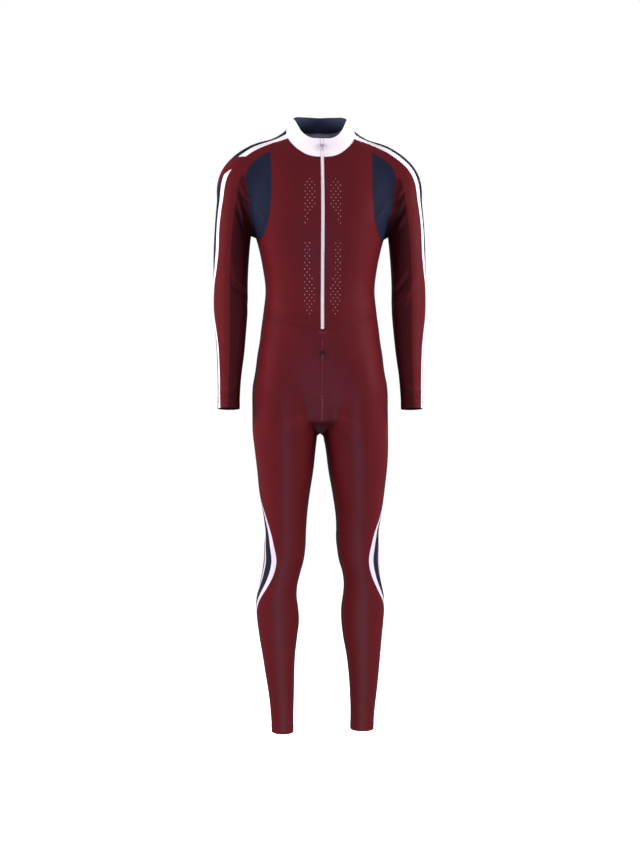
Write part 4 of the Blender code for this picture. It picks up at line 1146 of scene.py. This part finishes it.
def make_collar(zip_edge):
    """The stand collar, its facing and the zip's tape."""
    angles = neck_angles()
    seam = neckline_at(angles)
    top_zip = edge_at_x(lambda a: neckline_at(a, 1), ZIP_HALF)
    share = (angles - angles[0]) / (180 - angles[0])
    top = neckline_at(top_zip + share * (180 - top_zip), 1)
    whole_top = both_halves(top)
    edge = even_line([top[0], seam[0]], COLLAR_ROWS)
    cloth("collar", patch(whole_top, both_halves(seam), edge, flip(edge, -1)), "white", "white_inside",
          wall=COLLAR_WALL)

    low = settle(top + (seam - top) * smooth_table(FACING_EDGE, angles))
    facing_edge = even_line([top[0], low[0]], FACING_ROWS)
    grid = patch(whole_top, both_halves(low), facing_edge, flip(facing_edge, -1))
    cloth("collar_facing", grid, "navy_facing", "navy_facing", wall=FACING_WALL, sunk=FACING_SUNK)

    left = chain(edge, zip_edge)
    across = np.linspace(-1, 1, 2 * TAPE_STEPS + 1)
    ends = [on_view(ZIP_HALF * across, np.full(len(across), corner[2])) for corner in (left[0], left[-1])]
    for end, corner in zip(ends, (left[0], left[-1])):
        end[0], end[-1] = flip(corner, -1), corner
    cloth("zip_tape", patch(*ends, flip(left, -1), left), "tape", "tape", sunk=TAPE_SUNK)
    return seam, left


def make_teeth(zip_edge):
    """The closed coil: two rows of small round teeth that meet in the middle, turn about.

    One tooth is a bead squeezed into an oval; all are worked out at once from it.
    """
    middle = zip_edge * [0, 1, 1]
    run = run_along(middle)
    places = np.arange(TOOTH_PITCH, run[-1] - 1, TOOTH_PITCH / 2)
    centres = on_view(0, np.interp(places, run, middle[:, 2]))
    normal = outward_normal(centres)
    tangent = unit(np.gradient(centres, axis=0))
    side = np.cross(normal, tangent)
    lean = np.where(np.arange(len(places)) % 2 == 0, 1.0, -1.0)[:, None]
    lat, lon = np.meshgrid(np.linspace(0.25, math.pi - 0.25, 5), np.arange(8) * math.pi / 4, indexing="ij")
    bead = np.stack([np.cos(lat), np.sin(lat) * np.cos(lon), np.sin(lat) * np.sin(lon)], -1).reshape(-1, 3)
    shifted = centres + TOOTH_OFFSET * lean * side + TOOTH_LIFT * normal
    scatter("zip_teeth", bead * TOOTH_HALF, len(lat), False, shifted, (side, tangent, normal), "coil")


# --- Lower half ---


def make_legs():
    """The cut pieces of both legs; each leg has its own sections, so neither is a mirror image."""
    waist_front, waist_back = waist_stations()
    turn_steps = RISE // 2
    stripe_top, back_top = waist_back[: ACROSS_STRIPE + 1], waist_back[ACROSS_STRIPE:]
    rise, seams = {}, []
    for facing, start, angle in ((-1, waist_front[0], 0), (1, waist_back[-1], 180)):
        heights = np.linspace(start[2], CROTCH_TURN, RISE - turn_steps + 1)
        upper = round_torso(0 * heights + angle, heights)
        under = crotch_line(facing, turn_steps)
        line = chain(upper[:-1], under)
        line[0] = start
        rise[facing] = even_line(line[::2], RISE)
    crotch = rise[-1][-1]
    rise[1][-1] = crotch
    seams += [rise[-1], rise[1]]
    for side in (1, -1):
        low = np.linspace(crotch[2], HEM_HEIGHT, INSEAM + 1)[1:]
        high = np.linspace(waist_front[-1, 2], low[0], RISE + 2)[:-1]
        heights = np.concatenate([high, low])
        angle, width = smooth_table(LEG_STRIPE, heights).T
        _, _, half, depth = leg_section(side, heights)
        below = 1 / (1 + np.exp((heights - STRIPE_HIP_HEIGHT) / STRIPE_HIP_SOFT))
        radius = WAIST_RADIUS + (0.5 * (half + depth) - WAIST_RADIUS) * below
        fore = round_leg(side, angle, heights)
        aft = round_leg(side, angle - np.degrees(width / radius), heights)
        ease = np.clip((waist_front[-1, 2] - heights) / WAIST_EASE, 0, 1)[:, None]
        fore += (flip(waist_front[-1], side) - fore[0]) * (1 - ease)
        aft += (flip(back_top[0], side) - aft[0]) * (1 - ease)
        fore[1:-1], aft[1:-1] = settle(fore[1:-1]), settle(aft[1:-1])
        inseam = np.vstack([crotch, round_leg(side, 0 * low + 180, low)])

        def hem(start, end, steps):
            """The leg's lower edge from one angle to another."""
            turn = np.linspace(start, end, steps + 1)
            return round_leg(side, turn, 0 * turn + HEM_HEIGHT)

        behind = angle[-1] - math.degrees(width[-1] / radius[-1])
        hem_front = hem(180, angle[-1], ZIP_TO_SHOULDER)
        hem_stripe = hem(angle[-1], behind, ACROSS_STRIPE)
        hem_back = hem(behind, -180, ACROSS_HALF_BACK - ACROSS_STRIPE)
        tops = [flip(line, side) for line in (waist_front, stripe_top, back_top)]
        front = leg_patch(side, -1, tops[0], hem_front, chain(rise[-1], inseam), fore)
        cloth(side_name("leg_front", side), front, "maroon", hem=True)
        cloth(side_name("leg_stripe", side), patch(tops[1], hem_stripe, fore, aft), "leg_stripes",
              hem=True)
        back = leg_patch(side, 1, tops[2], hem_back, aft, chain(rise[1], inseam))
        cloth(side_name("leg_back", side), back, "maroon", hem=True)
        seams += [fore, aft, inseam]
    return waist_front, waist_back, seams


# --- Seam threads, stitching and perforations ---


def make_stitch_rows(name):
    """One of STITCH_ROWS: its rows run straight down the front at their own x."""
    half, height, look, slot, count, rows = STITCH_ROWS[name]
    lines = [on_view(x, np.linspace(start, end, count)) for x, start, end in rows]
    ribbon(name, lines, half, height, look)


def make_threads(seams, leg_seams, waist_front, waist_back, neck, zip_left):
    """Covering threads on every seam, the hems' stitching, the zip's edges and the fly's bar tacks."""
    names = ("chest_inner", "armhole_upper", "armhole_lower", "armhole_back", "under_arm", "side",
             "raglan_back", "sleeve_fore", "sleeve_aft", "stripe_fore", "stripe_back", "shoulder_drop")
    lines = [flip(seams[name], side) for name in names for side in (1, -1)] + leg_seams
    whole_waist = chain(waist_front, waist_back)
    lines += [whole_waist, flip(whole_waist, -1)]
    ribbon("seam_threads", lines, SEAM_HALF, SEAM_HEIGHT, "thread")
    whole_neck = chain(neck[::-1], flip(neck, -1)[1:])
    ribbon("neck_threads", [whole_neck], 1.0, 0.25, "white_thread")
    zip_sides = [line[COLLAR_ROWS:] for line in (zip_left, flip(zip_left, -1))]
    ribbon("zip_edge_threads", zip_sides, 0.9, 0.4, "thread")
    make_stitch_rows("collar_stitching")

    stitching = []
    turn = np.linspace(0, 360, 61)
    for side in (1, -1):
        for offset in (HEM_WIDTH - below for below in HEM_ROWS):
            stitching.append(round_leg(side, turn, 0 * turn + HEM_HEIGHT + offset))
            stitching.append(flip(round_arm(turn, np.full(len(turn), CUFF_REACH - offset)), side))
    ribbon("hem_stitching", stitching, 0.4, 0.55, "thread")
    make_stitch_rows("fly_stitching")
    make_stitch_rows("fly_edge")

    tacks = []
    for half, count, height, rise in BAR_TACKS:
        x = np.linspace(-half, half, count)
        tacks.append(on_view(x, height + rise * x * x))
    ribbon("bar_tacks", tacks, 1.1, 0.7, "pale_thread_and_highlight")
    make_stitch_rows("crotch_stitching")


def make_perforations():
    """Small holes in the two front panels, in staggered rows, each with a raised pale rim."""
    turn = np.arange(10) * math.pi / 5
    rings = np.array(PERFORATION_RINGS) * [PERFORATION_RADIUS, 1]
    radius, height = rings[:, :1], rings[:, 1:]
    shape = np.stack([radius * np.cos(turn), radius * np.sin(turn), height + 0 * turn], -1).reshape(-1, 3)
    places = []
    for start, rows, outline in PERFORATIONS:
        outline = np.array(outline)
        for row in range(rows):
            low, high = (np.interp(row / (rows - 1), outline[:, 0], outline[:, k]) for k in (1, 2))
            for column in (-2, -1, 0, 1, 2):
                if (column + row) % 2 == 0 and low - 0.3 <= column <= high + 0.3:
                    places.append((PERFORATION_MIDDLE + column * PERFORATION_COLUMN, 0.0,
                                   start - row * PERFORATION_ROW))
    for side in (1, -1):
        centres = cast(flip(np.array(places), side), [0, -1, 0])
        normal = outward_normal(centres)
        up = unit(np.array([0.0, 0.0, 1.0]) - normal * normal[:, 2:])
        centres = centres + crease_height(centres)[:, None] * normal
        scatter(side_name("perforations", side), shape, len(rings), True, centres,
                (np.cross(up, normal), up, normal), "perforation")


# --- Sliders and pull tabs ---


def frame_on_front(height):
    """Point on the centre front and the surface's own across, outward and up directions there."""
    point = round_torso(np.array([0.0]), np.array([float(height)]))[0]
    out = outward_normal(point[None])[0]
    out[0] = 0
    out /= np.linalg.norm(out)
    return point, np.array([1.0, 0.0, 0.0]), out, np.cross(out, [1.0, 0.0, 0.0])


def rounded(width, top, bottom, corner, steps=5):
    """Outline of an upright rectangle with round corners, as across and up values."""
    turn = np.radians(np.concatenate([90 * k + np.linspace(0, 90, steps + 1) for k in range(4)]))
    sx = np.repeat([1, -1, -1, 1], steps + 1)
    edge = np.repeat([top - corner, top - corner, bottom + corner, bottom + corner], steps + 1)
    return np.column_stack([sx * (width / 2 - corner) + corner * np.cos(turn), edge + corner * np.sin(turn)])


def place(points, base, lift):
    """Slider coordinates (across, out, up) turned into the suit's, lift above the cloth."""
    return in_frames(points + [0.0, lift, 0.0], *(vector[None] for vector in base))[0]


def shaped_ring(width, top, bottom, corner, thickness, edge):
    """Rings of one rounded outline from its back to its front, its edges rounded over by edge."""
    turn = np.linspace(0, math.pi / 2, 4)
    rings = [(edge * (1 - math.sin(t)), edge * (1 - math.cos(t))) for t in turn]
    levels = rings + [(inset, thickness - depth) for inset, depth in rings[::-1]]
    found = []
    for inset, depth in levels:
        outline = rounded(width - 2 * inset, top - inset, bottom + inset, corner - 0.7 * inset)
        found.append(np.insert(outline, 1, depth, 1))
    return found


def make_slider(name, height, look):
    """A slider: a rounded body and the arch over its face that holds the tab."""
    base = frame_on_front(height)
    end = SLIDER_LENGTH / 2
    rings = shaped_ring(SLIDER_WIDTH, end, -end, SLIDER_CORNER, SLIDER_THICK, SLIDER_EDGE)
    body = place(np.concatenate(rings), base, SLIDER_LIFT)
    faces = tube_faces(len(rings), len(rings[0]))
    turn = np.linspace(-math.pi / 2, math.pi / 2, 13)
    half, crown = ARCH_SPAN / 2 - ARCH_BAR / 2, ARCH_CLEAR + ARCH_BAR / 2
    across = np.sign(np.sin(turn)) * np.abs(np.sin(turn)) ** 0.6
    path = np.column_stack([half * across, crown * np.cos(turn) ** 0.5])
    path[[0, -1], 1] = ARCH_FOOT
    outline = rounded(ARCH_WIDTH, ARCH_BAR / 2, -ARCH_BAR / 2, ARCH_CORNER, steps=2)
    heading = unit(np.gradient(path, axis=0))
    rings = [[(x, p[1] + t * h[0], p[0] - t * h[1]) for x, t in outline] for p, h in zip(path, heading)]
    arch = place(np.array(rings).reshape(-1, 3), base, SLIDER_LIFT + SLIDER_THICK)
    faces += counted_from(len(body), tube_faces(len(path), len(outline)))
    solid(name, np.concatenate([body, arch]), faces, look, nodes=(name,))


def make_tab(name, body, height, look):
    """A pull tab with a slot for the arch, its edges rounded over."""
    base = frame_on_front(height)
    lift = SLIDER_LIFT + SLIDER_THICK + TAB_CLEAR
    outer = shaped_ring(TAB_WIDTH, TAB_BAR / 2, -TAB_LENGTH, TAB_CORNER, TAB_THICK, TAB_EDGE)
    inner = shaped_ring(TAB_SLOT_WIDTH, -TAB_BAR / 2, -TAB_SLOT_END, TAB_SLOT_CORNER, TAB_THICK, 0.0)
    rings = outer + [inner[-1], inner[0]]
    points = place(np.concatenate(rings), base, lift)
    solid(name, points, tube_faces(len(rings), len(outer[0]), joined=True), look, body, (name,))


# --- Materials ---


def linear(code):
    """An sRGB hex colour as linear red, green, blue and alpha."""
    parts = [int(code[k : k + 2], 16) / 255 for k in (1, 3, 5)]
    return tuple(p / 12.92 if p <= 0.04045 else ((p + 0.055) / 1.055) ** 2.4 for p in parts) + (1.0,)


def new_material(name):
    """A new material with its node tree and its surface shader."""
    made = bpy.data.materials.new(name)
    made.use_nodes = True
    return made, made.node_tree, made.node_tree.nodes["Principled BSDF"]


def node(tree, kind, settings=None, **inputs):
    """Adds a node, sets its properties and sets or links its inputs."""
    made = tree.nodes.new(kind)
    for key, value in (settings or {}).items():
        setattr(made, key, value)
    for key, value in inputs.items():
        socket = made.inputs[int(key[1:])] if key[0] == "i" and key[1:].isdigit() else made.inputs[key]
        if hasattr(value, "node"):
            tree.links.new(value, socket)
        else:
            socket.default_value = value
    return made


def set_surface(surface, **values):
    """Sets the surface shader's sockets; a name's underscores stand for spaces."""
    for key, value in values.items():
        surface.inputs[key.replace("_", " ")].default_value = value


def uv_axes(tree, title):
    """The two parts of a UV map."""
    uv = node(tree, "ShaderNodeUVMap", {"uv_map": title}).outputs[0]
    split = node(tree, "ShaderNodeSeparateXYZ", i0=uv)
    return split.outputs[0], split.outputs[1]


def math_node(tree, operation, a, b=0.0):
    """The result of one operation on two values."""
    return node(tree, "ShaderNodeMath", {"operation": operation}, i0=a, i1=b).outputs[0]


def times_plus(tree, value, times, plus):
    """The value, times a number and plus another."""
    return math_node(tree, "ADD", math_node(tree, "MULTIPLY", value, times), plus)


def between(tree, value, low, high):
    """One where the value is between low and high, else zero."""
    above = math_node(tree, "GREATER_THAN", value, low)
    return math_node(tree, "MULTIPLY", above, math_node(tree, "LESS_THAN", value, high))


def waves(tree, value, pitch):
    """A sine of a length in metres, with a pitch in millimetres."""
    return math_node(tree, "SINE", math_node(tree, "MULTIPLY", value, 2 * math.pi / (pitch * MM)))


def knit_bump(tree, surface, strength, wale=0.45, course=0.6):
    """Fine knitted surface: rows of loops, wale mm apart across and course mm apart along the cloth."""
    across, along = uv_axes(tree, "weave")
    loops = times_plus(tree, waves(tree, along, course), 0.6, waves(tree, across, wale))
    bump = node(tree, "ShaderNodeBump", Strength=strength, Distance=0.00005, Height=loops)
    tree.links.new(bump.outputs[0], surface.inputs["Normal"])


def mottled_and_fold_shaded(tree, colour, amount, size):
    """A colour mottled a little by soft clouds of a given size in metres, with painted shade in the creases'
    troughs and painted light on their ridges, by the creases' height.
    """
    fold = node(tree, "ShaderNodeAttribute", {"attribute_name": "fold"}).outputs["Fac"]
    place_now = node(tree, "ShaderNodeTexCoord").outputs["Object"]
    clouds = node(tree, "ShaderNodeTexNoise", Vector=place_now, Scale=1 / size, Detail=3.0).outputs["Fac"]
    # clouds: the cloth's own mottled tone; fold: painted shade in troughs, painted light on ridges
    value = math_node(tree, "MULTIPLY", times_plus(tree, clouds, 2 * amount, 1 - amount),
                      times_plus(tree, fold, FOLD_SHADE, 1.0))
    return node(tree, "ShaderNodeHueSaturation", Value=value, Color=colour).outputs[0]


def jersey(name, code, roughness=0.4, specular=0.4, bump=0.25):
    """Stretch jersey of one colour: a smooth, half-glossy knit."""
    made, tree, surface = new_material(name)
    tree.links.new(mottled_and_fold_shaded(tree, linear(code), 0.05, 0.05), surface.inputs["Base Color"])
    set_surface(surface, Roughness=roughness, Specular_IOR_Level=specular)
    knit_bump(tree, surface, bump)
    return made


def striped_jersey(name, first, second, white, navy, maroon=None, cuts=None):
    """Stretch jersey printed with a navy stripe between two white ones.

    The share across the cloth is read from the stripe map: white up to first, navy up to second, white
    after it. Between two slanting cuts along the cloth the print is left out and the cloth is maroon.
    """
    made, tree, surface = new_material(name)
    share, along = uv_axes(tree, "stripe")
    mix = {"data_type": "RGBA"}
    inside = between(tree, share, first, second)
    colour = node(tree, "ShaderNodeMix", mix, i0=inside, i6=linear(white), i7=linear(navy)).outputs[2]
    if cuts:
        low, high = (times_plus(tree, share, slant, at) for at, slant in cuts)
        unprinted = between(tree, along, low, high)
        colour = node(tree, "ShaderNodeMix", mix, i0=unprinted, i6=colour, i7=linear(maroon)).outputs[2]
    tree.links.new(mottled_and_fold_shaded(tree, colour, 0.03, 0.05), surface.inputs["Base Color"])
    set_surface(surface, Roughness=0.45, Specular_IOR_Level=0.35)
    knit_bump(tree, surface, 0.2)
    return made


def stitched(name, code, pitch=2.2):
    """Covering thread: short slanting stitches, pitch mm apart along the seam."""
    made, tree, surface = new_material(name)
    across, along = uv_axes(tree, "weave")
    wave = waves(tree, times_plus(tree, across, 0.6, along), pitch)
    value = times_plus(tree, wave, 0.10, 0.95)
    shade = node(tree, "ShaderNodeHueSaturation", Value=value, Color=linear(code)).outputs[0]
    tree.links.new(shade, surface.inputs["Base Color"])
    set_surface(surface, Roughness=0.55, Specular_IOR_Level=0.3)
    bump = node(tree, "ShaderNodeBump", Strength=0.5, Distance=0.0002, Height=wave)
    tree.links.new(bump.outputs[0], surface.inputs["Normal"])
    return made


def plain(name, code, roughness, metallic=0.0):
    """One even colour: moulded plastic or painted metal."""
    made, _, surface = new_material(name)
    surface.inputs["Base Color"].default_value = linear(code)
    set_surface(surface, Roughness=roughness, Metallic=metallic)
    return made


LOOKS = {
    # Smooth stretch jersey, wine red: the body, sleeves and legs.
    "maroon": jersey("maroon_jersey", MAROON),
    # The same jersey painted darker on the inner side of the sleeves: painted shade where they face the body.
    "maroon_painted_shade": jersey("maroon_jersey_painted_shade", "#3c0f14", specular=0.2),
    # The same jersey in dark navy: the chest panels.
    "navy": jersey("navy_jersey", NAVY, roughness=0.5, specular=0.3),
    # White stretch jersey of the collar, close and smooth.
    "white": jersey("white_jersey", "#efe9f0", roughness=0.5, specular=0.3),
    # The reverse of the maroon cloth, darker and matt, and of the white collar.
    "maroon_reverse": jersey("maroon_reverse", "#3f1116", roughness=0.7, specular=0.2),
    "white_inside": jersey("collar_reverse", "#d6d8f0", roughness=0.7, specular=0.2),
    # The collar's facing, matt navy jersey.
    "navy_facing": jersey("facing_jersey", "#363a50", roughness=0.65, specular=0.25),
    # Printed stripes on the same jersey.
    "sleeve_stripes": striped_jersey("sleeve_print", *SLEEVE_PRINT, STRIPE_WHITE, NAVY),
    "sleeve_stripes_patched": striped_jersey("sleeve_print_with_patch", *SLEEVE_PRINT, STRIPE_WHITE, NAVY,
                                             MAROON, PATCH_CUTS),
    "leg_stripes": striped_jersey("leg_print", *LEG_PRINT, "#c8c1ce", "#1d1e2e"),
    # Woven polyester zip tape and moulded coil.
    "tape": jersey("zip_tape_weave", "#f3e8ef", roughness=0.6, specular=0.3, bump=0.5),
    "coil": plain("zip_coil", "#f2ecf2", 0.4),
    # Polyester sewing threads.
    "thread": stitched("maroon_thread", "#4e131b"),
    "dark_thread": stitched("dark_thread", "#632a31"),
    # Pale pink thread: real stitching, whose pale colour on the lower bar tack and the crotch stitching also
    # paints the sheen highlight there.
    "pale_thread_and_highlight": stitched("pale_thread_and_highlight", "#703a45"),
    "white_thread": stitched("white_thread", "#e4dee6"),
    # Pale edge of each cut hole, where the white core of the yarn shows.
    "perforation": plain("perforation_rim", "#e4bcbb", 0.6),
    # Zip sliders: painted die-cast metal. Pull tabs: moulded plastic.
    "pale_metal": plain("slider_pale", "#d9d7dc", 0.35, metallic=0.6),
    "dark_metal": plain("slider_dark", "#24222c", 0.35, metallic=0.6),
    "dark_tab": plain("tab_dark", "#3a3038", 0.4),
    "pale_tab": plain("tab_pale", "#b9a7b2", 0.4),
}


# --- Stage ---


def make_stage():
    """A wide pale floor, soft lights, a world that only the camera sees as white, and the camera."""
    points = [(x * FLOOR_REACH, y * FLOOR_REACH, FLOOR_Z) for x, y in ((-1, -1), (1, -1), (1, 1), (-1, 1))]
    floor = mesh_object("floor", points, [(0, 1, 2, 3)], (backdrop("pale_backdrop", BACKDROP),))
    floor.visible_diffuse = floor.visible_glossy = False   # shines to the camera only

    for name, x, y, z, width, tall, power, tint, shine in LIGHTS:
        data = bpy.data.lights.new(name, "AREA")
        data.shape = "RECTANGLE"
        data.size, data.size_y = width, tall
        data.energy = power
        data.color = linear(tint)[:3]
        lamp = bpy.data.objects.new(name, data)
        lamp.location = (x, y, z)
        lamp.visible_glossy = shine
        lamp.visible_camera = False
        towards = Vector((0, 0, LIGHT_AIM)) - Vector((x, y, z))
        lamp.rotation_euler = towards.to_track_quat("-Z", "Z").to_euler()
        bpy.context.scene.collection.objects.link(lamp)

    world = bpy.data.worlds.new("studio")
    bpy.context.scene.world = world
    world.use_nodes = True
    back = world.node_tree.nodes["Background"]
    back.inputs[0].default_value = linear(WORLD)
    seen = world.node_tree.nodes.new("ShaderNodeLightPath").outputs["Is Camera Ray"]
    strength = times_plus(world.node_tree, seen, 1 - WORLD_STRENGTH, WORLD_STRENGTH)
    world.node_tree.links.new(strength, back.inputs[1])

    camera = bpy.data.cameras.new("camera")
    camera.sensor_width = camera.sensor_height = SENSOR
    camera.sensor_fit = "VERTICAL"
    camera.lens = SENSOR * FOCAL_PIXELS / FRAME_PIXELS
    camera.clip_end = 50
    eye = bpy.data.objects.new("camera", camera)
    turn = math.radians(CAMERA_TURN)
    eye.location = (-CAMERA_AWAY * math.sin(turn), -CAMERA_AWAY * math.cos(turn), CAMERA_HEIGHT)
    eye.rotation_euler = (math.pi / 2, 0, -turn)
    bpy.context.scene.collection.objects.link(eye)
    bpy.context.scene.camera = eye
    settings = bpy.context.scene.view_settings
    settings.view_transform = "Standard"
    settings.look = "None"
    settings.exposure = EXPOSURE


def backdrop(name, code):
    """Matt paper, with a little light of its own so that it stays evenly pale."""
    made, _, surface = new_material(name)
    surface.inputs["Base Color"].default_value = linear(code)
    surface.inputs["Emission Color"].default_value = linear(code)
    set_surface(surface, Roughness=0.9, Specular_IOR_Level=0.1, Emission_Strength=BACKDROP_GLOW)
    return made


seams, zip_edge = make_upper()
neck, zip_left = make_collar(zip_edge)
make_teeth(zip_left)
waist_front, waist_back, leg_seams = make_legs()
make_threads(seams, leg_seams, waist_front, waist_back, neck, zip_left)
make_perforations()
make_slider("zip_slider", ZIP_SLIDER_HEIGHT, "pale_metal")
make_tab("zip_pull", "zip_tab", ZIP_SLIDER_HEIGHT, "pale_tab")
make_slider("fly_slider", FLY_SLIDER_HEIGHT, "dark_metal")
make_tab("fly_pull", "fly_tab", FLY_SLIDER_HEIGHT, "dark_tab")
make_stage()
